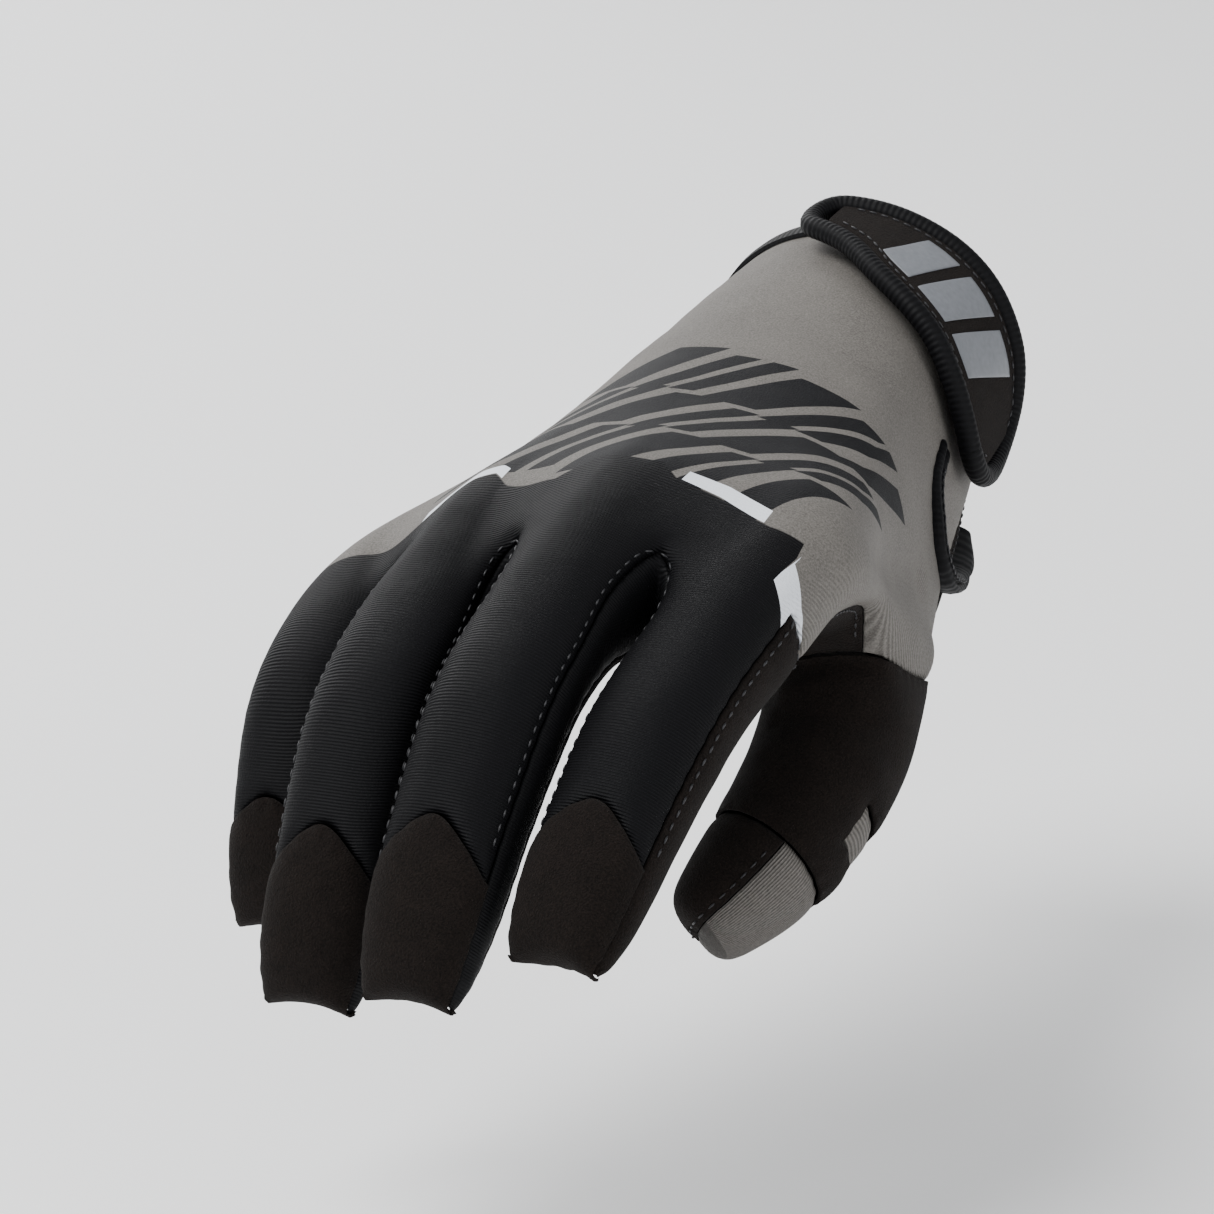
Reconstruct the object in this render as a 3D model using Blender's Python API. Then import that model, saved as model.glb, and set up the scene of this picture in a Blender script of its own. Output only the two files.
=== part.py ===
"""Motocross glove for the right hand, shaped as it is when worn.

Metres, +Z up. The origin is the centre of the wrist opening. The fingers point to -Y, the back of the
hand faces +Z and the thumb is on the +X side. The glove is one shell of cloth and suede, cut into the
panels that the real one is sewn from, with a bound wrist opening and a closing strap.
"""

import math
from collections import namedtuple

import bmesh
import bpy
import numpy as np

MM = 0.001

# Main sizes of the glove
PALM_LENGTH = 152 * MM  # wrist opening to the crotches of the fingers
HAND_WIDTH = 98 * MM  # across the finger bases
HAND_HEIGHT = 34 * MM  # back to palm at the knuckles
FINGER_LENGTH = 82 * MM  # crotch to tip of the middle finger
FINGER_WIDTH = 24.5 * MM
FINGER_HEIGHT = 22 * MM
THUMB_LENGTH = 112 * MM
THUMB_WIDTH = 27 * MM
WALL = 1.4 * MM
PANEL_GAP = 0.36 * MM
SUEDE_RAISE = 0.5 * MM  # how far the suede pieces stand over the knit

# Where the fingers bend
KNUCKLE_BACK = 20 * MM  # from the crotch back to the knuckle
MIDDLE_JOINT = 0.34  # shares of the finger's length
TIP_JOINT = 0.70
BEND_REACH = 26 * MM  # the length over which a joint bends

# Fingertips
CAP_RISE = 0.15  # how much further back its point reaches
TIP_HOLLOW = 3.5 * MM

# Wrist
BINDING_OVERLAP = 5 * MM
BINDING_WALL = 1.0 * MM
FIT = 0.3 * MM  # clearance between pieces that lie on one another
STRAP_LIFT = 1.7 * MM  # under the strap, room for the hook patch
STRAP_WALL = 1.8 * MM
PIPING = 4.2 * MM  # thickness of the strap's padded edge
FLAP_RISE = 1.2 * MM  # the suede over the underside of the piping
PAD_WALL = 0.6 * MM
SLIT_LENGTH = 50 * MM
SLIT_TAPE = 4.2 * MM

Finger = namedtuple("Finger", "name length width across forward up spread knuckle middle tip")
# length is a share of FINGER_LENGTH, width of FINGER_WIDTH, across and up of HAND_WIDTH, forward of
# PALM_LENGTH; spread is degrees towards the thumb and the last three are the bends in degrees
FINGERS = (
    Finger("index", 0.88, 0.99, 0.422, 0.985, -0.030, -7, 24, 17, 5),
    Finger("middle", 1.00, 1.00, 0.145, 1.010, 0.005, -3, 23, 27, 6),
    Finger("ring", 0.98, 0.97, -0.115, 0.985, -0.050, -1, 21, 36, 6),
    Finger("little", 0.75, 0.85, -0.340, 0.930, -0.145, 2, 15, 52, 8),
)

# Stations along a finger as shares of its length, with the size there as shares of the finger's own
# and how much of the cap's point the station follows
Ring = namedtuple("Ring", "along width height point")
FINGER_RINGS = (
    Ring(0.00, 1.00, 1.06, 0.00),
    Ring(0.10, 1.00, 1.04, 0.00),
    Ring(0.20, 0.98, 1.00, 0.00),
    Ring(0.31, 0.99, 1.00, 0.00),
    Ring(0.42, 1.00, 1.01, 0.12),
    Ring(0.53, 0.98, 0.96, 0.35),
    Ring(0.65, 0.95, 0.92, 0.68),
    Ring(0.76, 0.94, 0.90, 1.00),
    Ring(0.85, 0.90, 0.80, 0.45),
    Ring(0.92, 0.85, 0.66, 0.15),
    Ring(0.97, 0.77, 0.50, 0.00),
    Ring(1.00, 0.68, 0.32, 0.00),
)
CAP_RING = 7

# Sections of the hand: along as a share of PALM_LENGTH, thumb_side and little_side of HAND_WIDTH, the
# rest of HAND_HEIGHT: back and palm from the middle, arch is how far the little side falls away and
# thenar how far the ball of the thumb swells
Section = namedtuple("Section", "along thumb_side little_side back palm arch thenar")
HAND_SECTIONS = (
    Section(0.00, 0.286, 0.297, 0.79, 0.84, 0.00, -0.12),
    Section(0.15, 0.284, 0.290, 0.70, 0.80, 0.00, 0.34),
    Section(0.30, 0.310, 0.292, 0.60, 0.76, 0.02, 0.56),
    Section(0.45, 0.370, 0.310, 0.54, 0.70, 0.15, 0.52),
    Section(0.60, 0.430, 0.330, 0.50, 0.62, 0.32, 0.34),
    Section(0.75, 0.490, 0.345, 0.50, 0.58, 0.48, 0.12),
    Section(0.88, 0.525, 0.385, 0.50, 0.52, 0.55, 0.03),
    Section(1.00, 0.530, 0.415, 0.48, 0.50, 0.55, 0.00),
)
HAND_STATIONS = (0.0, 0.09, 0.18, 0.27, 0.36, 0.45, 0.54, 0.62, 0.70, 0.78, 0.86, 0.93, 1.0)
THENAR_ANGLE = -54  # the way the ball of the thumb swells, in degrees from +X towards the back
SEAM_ANGLE = 16  # where the back panel ends at the sides of the hand
FINGER_SEAM_ANGLE = 15

# Segments: over the back of a finger, and the same under it
STEPS = 6
TOPS = 4 * STEPS + 1  # points over the back of the hand
ROUND = 2 * TOPS + 2  # points round the hand
FIRST_UNDER = TOPS + 1  # the first point under the hand, at the little finger's seam
THUMB_SIDE = ROUND - 1
THUMB_ROWS = (3, 8)  # the hand rings between which the thumb leaves the hand
THUMB_COLUMNS = (42, 50)  # and the points round the hand
SLIT_COLUMN = 48

# The thumb's sections: places as shares of THUMB_LENGTH, sizes of THUMB_WIDTH
ThumbSection = namedtuple("ThumbSection", "out forward down width height")
THUMB_SECTIONS = (
    ThumbSection(0.280, 0.67, 0.20, 2.10, 1.30),
    ThumbSection(0.295, 0.72, 0.26, 1.75, 1.20),
    ThumbSection(0.310, 0.79, 0.33, 1.35, 1.06),
    ThumbSection(0.318, 0.89, 0.39, 1.06, 0.94),
    ThumbSection(0.308, 1.00, 0.46, 0.96, 0.86),
    ThumbSection(0.270, 1.10, 0.53, 0.86, 0.74),
    ThumbSection(0.225, 1.17, 0.59, 0.64, 0.46),
)
THUMB_RINGS = 12
RAIL_RINGS = 5  # those that lead from the hand to the thumb's first whole section
THUMB_START = 0.42  # where that section lies in the table
THUMB_RELAX = 3  # times that the skin where they meet is smoothed
NAIL_SIDE = (0.93, -0.25, -0.10)  # the way the back of the thumb faces
BASE_EDGE = 3  # thumb rings between which the panels change
BASE_END = 9

# The strap: angle round the wrist in degrees from +X towards the back, and how far from the wrist
# opening its two edges lie there, as shares of STRAP_WIDTH
STRAP_WIDTH = 34 * MM
StrapRow = namedtuple("StrapRow", "angle near far lift")
STRAP_ROWS = (
    StrapRow(-2, 0.03, 1.00, 0.0),
    StrapRow(8, 0.00, 1.01, 0.0),
    StrapRow(22, 0.00, 1.00, 0.0),
    StrapRow(36, 0.00, 0.96, 0.1),
    StrapRow(50, 0.00, 0.91, 0.1),
    StrapRow(66, 0.00, 0.80, 0.1),
    StrapRow(80, 0.00, 0.63, 0.3),
    StrapRow(93, 0.01, 0.50, 0.6),
)
END_REACH = 0.5  # how far its rounded ends reach, as a share of half its width
STRAP_RISE = 2.0 * MM  # multiplies lift
FLAP_ANGLES = (-10, 92)  # between which there is suede inside its edge

# The tape round the slit: angle round the wrist and distance from the opening as a share of SLIT_LENGTH
SlitRow = namedtuple("SlitRow", "along angle far rise")
SLIT_ROWS = (
    SlitRow(0.00, -1, 0.70, 0.6),
    SlitRow(0.25, -5, 0.90, 1.1),
    SlitRow(0.50, -12, 1.00, 1.6),
    SlitRow(0.70, -20, 1.05, 1.9),
    SlitRow(0.85, -28, 0.98, 2.7),
    SlitRow(1.00, -36, 0.80, 3.4),
)


# Reading tables


def smoothstep(x):
    """0 below 0, 1 above 1 and smooth between."""
    x = min(1.0, max(0.0, x))
    return x * x * (3 - 2 * x)


def curve_value(xs, ys, x):
    """A smooth curve through the points xs, ys, read at x."""
    x = min(xs[-1], max(xs[0], x))
    i = max(1, min(len(xs) - 1, int(np.searchsorted(xs, x))))
    slopes = []
    for k in (i - 1, i):
        a, b = max(0, k - 1), min(len(xs) - 1, k + 1)
        slopes.append((ys[b] - ys[a]) / (xs[b] - xs[a]))
    h = xs[i] - xs[i - 1]
    t = (x - xs[i - 1]) / h
    return (
        ys[i - 1] * (2 * t**3 - 3 * t**2 + 1)
        + slopes[0] * h * (t**3 - 2 * t**2 + t)
        + ys[i] * (-2 * t**3 + 3 * t**2)
        + slopes[1] * h * (t**3 - t**2)
    )


def table_value(rows, column, at, key="along"):
    """A column of a table at a station, on a smooth curve through its rows."""
    return curve_value([getattr(r, key) for r in rows], [getattr(r, column) for r in rows], at)


def unit(v):
    v = np.asarray(v, float)
    return v / np.linalg.norm(v)


def rounded(angle, half_width, top, bottom, power=2.25):
    """A point of a rounded section, angle in degrees from the thumb side over the back."""
    a = math.radians(angle)
    c, s = math.cos(a), math.sin(a)
    e = 2 / power
    x = math.copysign(abs(c) ** e, c) * half_width
    z = math.copysign(abs(s) ** e, s) * (top if s > 0 else bottom)
    return x, z


# Fingers


class CentreLine:
    """The line through the middle of a finger, by distance from its crotch; less than 0 is in the hand."""

    STEP = 0.5 * MM

    def __init__(self, finger):
        self.finger = finger
        self.length = finger.length * FINGER_LENGTH
        self.width = finger.width * FINGER_WIDTH
        self.height = finger.width * FINGER_HEIGHT
        start = (finger.across * HAND_WIDTH, -finger.forward * PALM_LENGTH, finger.up * HAND_WIDTH)
        self.ahead = self.walk(np.array(start), 1, self.length + 6 * MM)
        self.behind = self.walk(np.array(start), -1, 0.6 * PALM_LENGTH)

    def bend(self, s):
        """Degrees below the back of the hand at s."""
        places = (-KNUCKLE_BACK, MIDDLE_JOINT * self.length, TIP_JOINT * self.length)
        bends = (self.finger.knuckle, self.finger.middle, self.finger.tip)
        return sum(b * smoothstep((s - p) / BEND_REACH + 0.5) for p, b in zip(places, bends))

    def direction(self, s):
        down = math.radians(self.bend(s))
        turn = math.radians(self.finger.spread) * smoothstep(s / (60 * MM) + 1)
        return np.array(
            [math.sin(turn) * math.cos(down), -math.cos(turn) * math.cos(down), -math.sin(down)]
        )

    def walk(self, p, sign, reach):
        points = [p]
        for i in range(int(reach / self.STEP) + 1):
            p = p + sign * self.STEP * self.direction(sign * (i + 0.5) * self.STEP)
            points.append(p)
        return points

    def at(self, s):
        line = self.ahead if s >= 0 else self.behind
        u = abs(s) / self.STEP
        i = min(len(line) - 2, int(u))
        return line[i] + (u - i) * (line[i + 1] - line[i])

    def point(self, s, angle, width, height):
        """A point of the finger's skin."""
        ahead = self.direction(s)
        turn = math.radians(self.finger.spread)
        side = np.array([math.cos(turn), math.sin(turn), 0.0])
        up = unit(np.cross(ahead, side))
        if up[2] < 0:
            up = -up
        x, z = rounded(angle, width / 2, height / 2, height / 2)
        return self.at(s) + side * x + up * z


def seam_angle(s, web):
    """Degrees above the side of a finger where its back ends; higher at a web between fingers."""
    if not web:
        return FINGER_SEAM_ANGLE
    if s < 0:
        return 50 + 30 * smoothstep(-s / (28 * MM))
    return 50 - 28 * smoothstep(s / (16 * MM))


def ring_angles(finger, s):
    """The angles round a finger: back, little side, palm side, thumb side."""
    near = seam_angle(s, finger > 0)
    far = seam_angle(s, finger < 3)
    back = [near + (180 - far - near) * k / STEPS for k in range(STEPS + 1)]
    under = [180 + far + (180 - near - far) * k / STEPS for k in range(STEPS + 1)]
    return back + [180.0] + under + [360.0]


LITTLE_MID = STEPS + 1
UNDER = STEPS + 2
THUMB_MID = 2 * STEPS + 3
ROUND_FINGER = 2 * STEPS + 4

# How far the edges and the middle of a web lie from the crotch, towards the fingertip
WEB_SHIFT = {"top": -6 * MM, "middle": -1 * MM, "under": 2 * MM}


def web_shift(finger, k):
    """The web's shift for point k of a finger's ring, or 0 off the webs."""
    little_web = finger < 3
    thumb_web = finger > 0
    if (k == STEPS and little_web) or (k == 0 and thumb_web):
        return WEB_SHIFT["top"]
    if (k == UNDER and little_web) or (k == THUMB_MID - 1 and thumb_web):
        return WEB_SHIFT["under"]
    return 0.0


# The shell


class Shell:
    """The whole skin of the glove as points and faces, each face named after its panel."""

    def __init__(self):
        self.points = []
        self.faces = []
        self.panels = []
        self.lines = [CentreLine(f) for f in FINGERS]
        self.ways = {}  # the way out of the skin at the bottom and the palm side of each web

    def add(self, p):
        self.points.append(np.asarray(p, float))
        return len(self.points) - 1

    def face(self, corners, panel):
        self.faces.append(tuple(corners))
        self.panels.append(panel)

    def build(self):
        rings = [[self.add(p) for p in self.hand_ring(r)] for r in range(len(HAND_STATIONS))]
        self.hand_faces(rings)
        self.finger_faces(rings[-1])
        self.thumb_faces(rings)

    def section_point(self, along, angle):
        r = {c: table_value(HAND_SECTIONS, c, along) for c in Section._fields[1:]}
        half = (r["thumb_side"] if math.cos(math.radians(angle)) > 0 else r["little_side"]) * HAND_WIDTH
        x, z = rounded(angle, half, r["back"] * HAND_HEIGHT, r["palm"] * HAND_HEIGHT, 2.2)
        if x < 0:
            z -= r["arch"] * HAND_HEIGHT * (x / half) ** 2
        lean = math.radians(THENAR_ANGLE)
        swell = max(0.0, math.cos(math.radians(angle) - lean)) ** 3 * r["thenar"] * HAND_HEIGHT
        return np.array([x + swell * math.cos(lean), -along * PALM_LENGTH, z + swell * math.sin(lean)])

    def section_ring(self, along):
        sweep = 180 - 2 * SEAM_ANGLE
        back = [SEAM_ANGLE + sweep * k / (TOPS - 1) for k in range(TOPS)]
        under = [180 + SEAM_ANGLE + sweep * k / (TOPS - 1) for k in range(TOPS)]
        return [self.section_point(along, a) for a in back + [180] + under + [360]]

    def finger_size(self, i, along):
        line = self.lines[i]
        width = table_value(FINGER_RINGS, "width", along)
        height = table_value(FINGER_RINGS, "height", along)
        return line.width * width, line.height * height

    def finger_point(self, i, s, k):
        width, height = self.finger_size(i, max(0.0, s / self.lines[i].length))
        return self.lines[i].point(s, ring_angles(i, s)[k], width, height)

    def knuckle_ring(self, s, crotch):
        """The points round the hand made from the sections of the four fingers."""
        share = 1.0 if crotch else 0.0
        back, under = [], []
        for i in range(4):
            for k in range(STEPS + 1):
                p = self.finger_point(i, s + share * web_shift(i, k), k)
                if k == 0 and i > 0:
                    back[-1] = (back[-1] + p) / 2
                else:
                    back.append(p)
        for i in (3, 2, 1, 0):
            for k in range(UNDER, UNDER + STEPS + 1):
                p = self.finger_point(i, s + share * web_shift(i, k), k)
                if k == UNDER and i < 3:
                    under[-1] = (under[-1] + p) / 2
                else:
                    under.append(p)
        little = self.finger_point(3, s, LITTLE_MID)
        thumb = self.finger_point(0, s, THUMB_MID)
        return back + [little] + under + [thumb]

    def hand_ring(self, row):
        along = HAND_STATIONS[row]
        points = self.section_ring(along)
        share = smoothstep((along - 0.58) / 0.42)
        if share > 0:
            knuckles = self.knuckle_ring((along - 1) * PALM_LENGTH, row == len(HAND_STATIONS) - 1)
            points = [(1 - share) * p + share * q for p, q in zip(points, knuckles)]
        return points

    def hand_panel(self, row, column):
        if column < TOPS - 1:
            return "back_panel"
        if column >= SLIT_COLUMN and row < THUMB_ROWS[0]:
            return "back_panel"
        if column >= THUMB_COLUMNS[1] or (column == THUMB_COLUMNS[1] - 1 and row < THUMB_ROWS[1] + 2):
            return "back_panel"
        return "palm_panel"

    def hand_faces(self, rings):
        for row in range(len(rings) - 1):
            for column in range(ROUND):
                in_rows = THUMB_ROWS[0] <= row < THUMB_ROWS[1]
                if in_rows and THUMB_COLUMNS[0] <= column < THUMB_COLUMNS[1]:
                    continue
                after = (column + 1) % ROUND
                corners = (rings[row][column], rings[row][after], rings[row + 1][after], rings[row + 1][column])
                self.face(corners, self.hand_panel(row, column))

    def finger_panel(self, i, k, ring):
        if k < STEPS:
            return FINGERS[i].name + "_cap" if ring > CAP_RING else "back_panel"
        if k in (STEPS, STEPS + 1):
            return "palm_panel" if i == 3 else FINGERS[i].name + "_side"
        if k in (THUMB_MID - 1, THUMB_MID):
            return "palm_panel" if i == 0 else FINGERS[i - 1].name + "_side"
        return "palm_panel"

    def finger_faces(self, crotch):
        webs = []
        for i in range(3):
            s = WEB_SHIFT["middle"]
            sides = self.finger_point(i, s, LITTLE_MID), self.finger_point(i + 1, s, THUMB_MID)
            webs.append(self.add(sum(sides) / 2))
            ahead = unit(self.lines[i].direction(0) + self.lines[i + 1].direction(0))
            self.ways[webs[-1]] = ahead
            self.ways[crotch[FIRST_UNDER + STEPS * (3 - i)]] = unit(ahead + np.array([0, 0, -1.2]))
        for i, line in enumerate(self.lines):
            back = crotch[STEPS * i : STEPS * (i + 1) + 1]
            first = FIRST_UNDER + STEPS * (3 - i)
            under = crotch[first : first + STEPS + 1]
            little = webs[i] if i < 3 else crotch[TOPS]
            thumb = webs[i - 1] if i > 0 else crotch[THUMB_SIDE]
            before = back + [little] + under + [thumb]
            for q in range(1, len(FINGER_RINGS)):
                ring = self.finger_ring(i, q)
                now = [self.add(p) for p in ring]
                for k in range(ROUND_FINGER):
                    after = (k + 1) % ROUND_FINGER
                    self.face((before[k], before[after], now[after], now[k]), self.finger_panel(i, k, q))
                before = now
            self.fingertip(i, before)

    def finger_ring(self, i, q):
        """The points round finger i at its ring q."""
        line, row = self.lines[i], FINGER_RINGS[q]
        s0 = row.along * line.length
        angles = ring_angles(i, s0)
        web_share = {1: 0.5, 2: 0.2}.get(q, 0.0)
        points = []
        for k, angle in enumerate(angles):
            s = s0 + web_share * web_shift(i, k)
            if k <= STEPS:
                off_middle = abs(2 * k / STEPS - 1)
                s -= row.point * CAP_RISE * line.length * (1 - off_middle)
            to_side = math.cos(math.radians(angle)) ** 2
            hollow = {len(FINGER_RINGS) - 1: 1.0, len(FINGER_RINGS) - 2: 0.5}.get(q, 0.0)
            s += (to_side - 0.55) * TIP_HOLLOW * hollow
            points.append(line.point(s, angle, line.width * row.width, line.height * row.height))
        return points

    def fingertip(self, i, ring):
        cap = FINGERS[i].name + "_cap"
        under = list(reversed(ring[UNDER : UNDER + STEPS + 1]))
        for k in range(STEPS):
            self.face((ring[k], ring[k + 1], under[k + 1], under[k]), cap)
        self.face((ring[0], under[0], ring[THUMB_MID]), self.finger_panel(i, THUMB_MID, 0))
        self.face((ring[STEPS], ring[LITTLE_MID], under[STEPS]), self.finger_panel(i, STEPS, 0))

    def relax(self, ids, passes):
        """Moves each of the points halfway to the middle of those round it, again and again."""
        around = {v: set() for v in ids}
        for f in self.faces:
            for a, b in zip(f, f[1:] + f[:1]):
                for v, other in ((a, b), (b, a)):
                    if v in around:
                        around[v].add(other)
        for _ in range(passes):
            moved = {}
            for v, near in around.items():
                moved[v] = (self.points[v] + np.mean([self.points[o] for o in near], axis=0)) / 2
            for v, p in moved.items():
                self.points[v] = p

    def thumb_loop(self, rings):
        """The edge of the opening that the thumb leaves by, and the column of each of its points."""
        low, high = THUMB_ROWS
        columns = [c % ROUND for c in range(THUMB_COLUMNS[0], THUMB_COLUMNS[1] + 1)]
        loop = [rings[low][c] for c in columns]
        loop += [rings[r][columns[-1]] for r in range(low + 1, high + 1)]
        loop += [rings[high][c] for c in reversed(columns[:-1])]
        loop += [rings[r][columns[0]] for r in range(high - 1, low, -1)]
        return loop

    def thumb_panel(self, ring, k):
        """The thumb's panels; k runs from the palm over the wrist side, the nail side and the web."""
        if ring <= BASE_EDGE:
            return "back_panel" if 6 <= k < 15 else "palm_panel"
        if ring <= BASE_END:
            return "thumb_inset" if ring == BASE_END - 1 and 7 <= k < 11 else "thumb_base"
        return "thumb_nail_panel" if 2 <= k < 14 else "thumb_pad_panel"

    def thumb_faces(self, rings):
        loop = self.thumb_loop(rings)
        count = len(loop)
        places = np.array([[t.out, -t.forward, -t.down] for t in THUMB_SECTIONS]) * THUMB_LENGTH
        shares = [i / (len(THUMB_SECTIONS) - 1) for i in range(len(THUMB_SECTIONS))]

        def path(t):
            return np.array([curve_value(shares, list(places[:, c]), t) for c in range(3)])

        def axes(t):
            ahead = unit(path(min(1.0, t + 0.03)) - path(max(0.0, t - 0.03)))
            side = unit(np.cross(ahead, NAIL_SIDE))
            return ahead, side, np.cross(side, ahead)

        _, side, up = axes(0.0)
        centre = sum(self.points[v] for v in loop) / count
        own = [math.atan2((self.points[v] - centre) @ up, (self.points[v] - centre) @ side) for v in loop]
        own = np.degrees(np.unwrap(own))
        turn = 1 if own[-1] > own[0] else -1
        even = turn * 360 / count * np.arange(count)
        even += np.mean(own - even)

        def tube(t):
            ahead, side, up = axes(t)
            width = curve_value(shares, [r.width for r in THUMB_SECTIONS], t) * THUMB_WIDTH / 2
            height = curve_value(shares, [r.height for r in THUMB_SECTIONS], t) * THUMB_WIDTH / 2
            ring = []
            for angle in even:
                x, z = rounded(angle, width, height, height, 2.1)
                ring.append(path(t) + side * x + up * z)
            return ring

        def rail(start, end, ahead, t):
            """A curve from the hand to the thumb's first whole section."""
            reach = end - start
            arrive = ahead * np.linalg.norm(reach)
            return (
                start * (2 * t**3 - 3 * t**2 + 1)
                + reach * (t**3 - 2 * t**2 + t)
                + end * (-2 * t**3 + 3 * t**2)
                + arrive * (t**3 - t**2)
            )

        first = tube(THUMB_START)
        ahead = axes(THUMB_START)[0]
        before = loop
        rings_of_thumb = []
        for q in range(1, THUMB_RINGS + 1):
            if q <= RAIL_RINGS:
                ring = [rail(self.points[v], p, ahead, q / RAIL_RINGS) for v, p in zip(loop, first)]
            else:
                share = (q - RAIL_RINGS) / (THUMB_RINGS - RAIL_RINGS)
                ring = tube(THUMB_START + (1 - THUMB_START) * share)
            now = [self.add(p) for p in ring]
            for k in range(count):
                after = (k + 1) % count
                self.face((before[k], before[after], now[after], now[k]), self.thumb_panel(q, k))
            before = now
            rings_of_thumb.append(now)
        self.relax([v for ring in rings_of_thumb[: RAIL_RINGS + 1] for v in ring], THUMB_RELAX)
        ahead = axes(1.0)[0]
        end = sum(self.points[v] for v in before) / count + 0.8 * MM * ahead
        tip = self.add(end)
        for k in range(count):
            self.face((before[k], before[(k + 1) % count], tip), self.thumb_panel(THUMB_RINGS, k))


# Solids


def shell_normals(shell):
    """The way out of the skin at each point: the direction that all the faces round it share best."""
    around = {}
    for f in shell.faces:
        for a, b, c in split(shell, f):
            p = shell.points
            cross = np.cross(p[b] - p[a], p[c] - p[a])
            if np.linalg.norm(cross) > 0:
                for v in (a, b, c):
                    around.setdefault(v, []).append(unit(cross))
    normals = np.zeros((len(shell.points), 3))
    for v, ways in around.items():
        ways = np.array(ways)
        n = unit(ways.sum(axis=0))
        for step in range(60):
            n = unit(n + 0.08 * ways[np.argmin(ways @ n)])
        normals[v] = n
    top = max(around, key=lambda v: shell.points[v][2])
    normals *= 1 if normals[top][2] > 0 else -1
    for v, way in shell.ways.items():
        normals[v] = way
    return normals


def panel_faces(shell, name):
    return [f for f, panel in zip(shell.faces, shell.panels) if panel == name]


def boundary_edges(faces):
    """The edges that only one of the faces has, in that face's order."""
    seen = {}
    for f in faces:
        for a, b in zip(f, f[1:] + f[:1]):
            seen[(a, b)] = f
    return {e: f for e, f in seen.items() if (e[1], e[0]) not in seen}


def pulled_in(shell, faces, normals, keep):
    """The panel's points, those on its seams moved into the panel by half the gap."""
    ways = {}
    for (a, b), f in boundary_edges(faces).items():
        if a in keep and b in keep:
            continue
        along = unit(shell.points[b] - shell.points[a])
        middle = sum(shell.points[i] for i in f) / len(f)
        inward = middle - (shell.points[a] + shell.points[b]) / 2
        for v in (a, b):
            across = unit(np.cross(normals[v], along))
            ways.setdefault(v, []).append(across if across @ inward > 0 else -across)
    points = {i: shell.points[i].copy() for f in faces for i in f}
    for v, directions in ways.items():
        wanted = np.full(len(directions), PANEL_GAP / 2)
        move = np.linalg.lstsq(np.array(directions), wanted, rcond=0.05)[0]
        reach = np.linalg.norm(move)
        points[v] += move * min(1.0, 2 * PANEL_GAP / reach)
    return points


def panel_solid(shell, normals, name, rim, raise_by=0.0):
    """The panel as a closed solid: the skin, a wall inside it and its cut edges."""
    faces = panel_faces(shell, name)
    points = pulled_in(shell, faces, normals, rim)
    ids = sorted(points)
    place = {v: i for i, v in enumerate(ids)}
    outer = [points[v] + normals[v] * raise_by for v in ids]
    inner = [points[v] - normals[v] * WALL for v in ids]
    n = len(ids)
    solid = []
    for f in faces:
        for t in split(shell, f):
            solid.append(tuple(place[v] for v in t))
            solid.append(tuple(place[v] + n for v in reversed(t)))
    for a, b in boundary_edges(faces):
        low, high = place[min(a, b)], place[max(a, b)]
        for t in ((low, high, high + n), (low, high + n, low + n)):
            solid.append(t if a > b else tuple(reversed(t)))
    return outer + inner, solid


def split(shell, f):
    """A face as triangles, cut along its shorter diagonal."""
    if len(f) == 3:
        return [f]
    a, b, c, d = f
    p = shell.points
    if np.linalg.norm(p[a] - p[c]) <= np.linalg.norm(p[b] - p[d]):
        return [(a, b, c), (a, c, d)]
    return [(a, b, d), (b, c, d)]


def make_object(name, points, faces, material):
    """A mesh object with its faces turned outward."""
    bm = bmesh.new()
    verts = [bm.verts.new(p) for p in points]
    for f in faces:
        bm.faces.new([verts[i] for i in f])
    bmesh.ops.recalc_face_normals(bm, faces=bm.faces)
    if bm.calc_volume(signed=True) < 0:
        bmesh.ops.reverse_faces(bm, faces=bm.faces)
    mesh = bpy.data.meshes.new(name)
    bm.to_mesh(mesh)
    bm.free()
    obj = bpy.data.objects.new(name, mesh)
    bpy.context.scene.collection.objects.link(obj)
    mesh.materials.append(make_material(name, *material))
    return obj


def make_material(name, colour, roughness):
    mat = bpy.data.materials.new(name)
    mat.use_nodes = True
    shader = mat.node_tree.nodes["Principled BSDF"]
    shader.inputs["Base Color"].default_value = (*colour, 1.0)
    shader.inputs["Roughness"].default_value = roughness
    return mat


def sweep(sections, closed):
    """A solid from rows of points, each row a closed outline."""
    n = len(sections[0])
    points = [p for row in sections for p in row]
    count = len(sections)
    faces = []
    for r in range(count if closed else count - 1):
        s = (r + 1) % count
        for k in range(n):
            m = (k + 1) % n
            faces.append((r * n + k, r * n + m, s * n + m, s * n + k))
    if not closed:
        faces.append(tuple(reversed(range(n))))
        faces.append(tuple((count - 1) * n + k for k in range(n)))
    return points, faces


def slab(rows, normals, thick):
    """A sheet from a grid of points, with thickness along its own normals."""
    height, width = len(rows), len(rows[0])
    low = [p for row in rows for p in row]
    high = [p + n * thick for row, norms in zip(rows, normals) for p, n in zip(row, norms)]
    count = height * width
    faces = []

    def at(r, c, top=0):
        return r * width + c + top * count

    for r in range(height - 1):
        for c in range(width - 1):
            faces.append((at(r, c), at(r, c + 1), at(r + 1, c + 1), at(r + 1, c)))
            faces.append((at(r, c, 1), at(r + 1, c, 1), at(r + 1, c + 1, 1), at(r, c + 1, 1)))
    for r in range(height - 1):
        faces.append((at(r, 0), at(r + 1, 0), at(r + 1, 0, 1), at(r, 0, 1)))
        faces.append((at(r, width - 1), at(r, width - 1, 1), at(r + 1, width - 1, 1), at(r + 1, width - 1)))
    for c in range(width - 1):
        faces.append((at(0, c), at(0, c, 1), at(0, c + 1, 1), at(0, c + 1)))
        faces.append((at(height - 1, c), at(height - 1, c + 1), at(height - 1, c + 1, 1), at(height - 1, c, 1)))
    return low + high, faces


# The wrist


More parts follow.
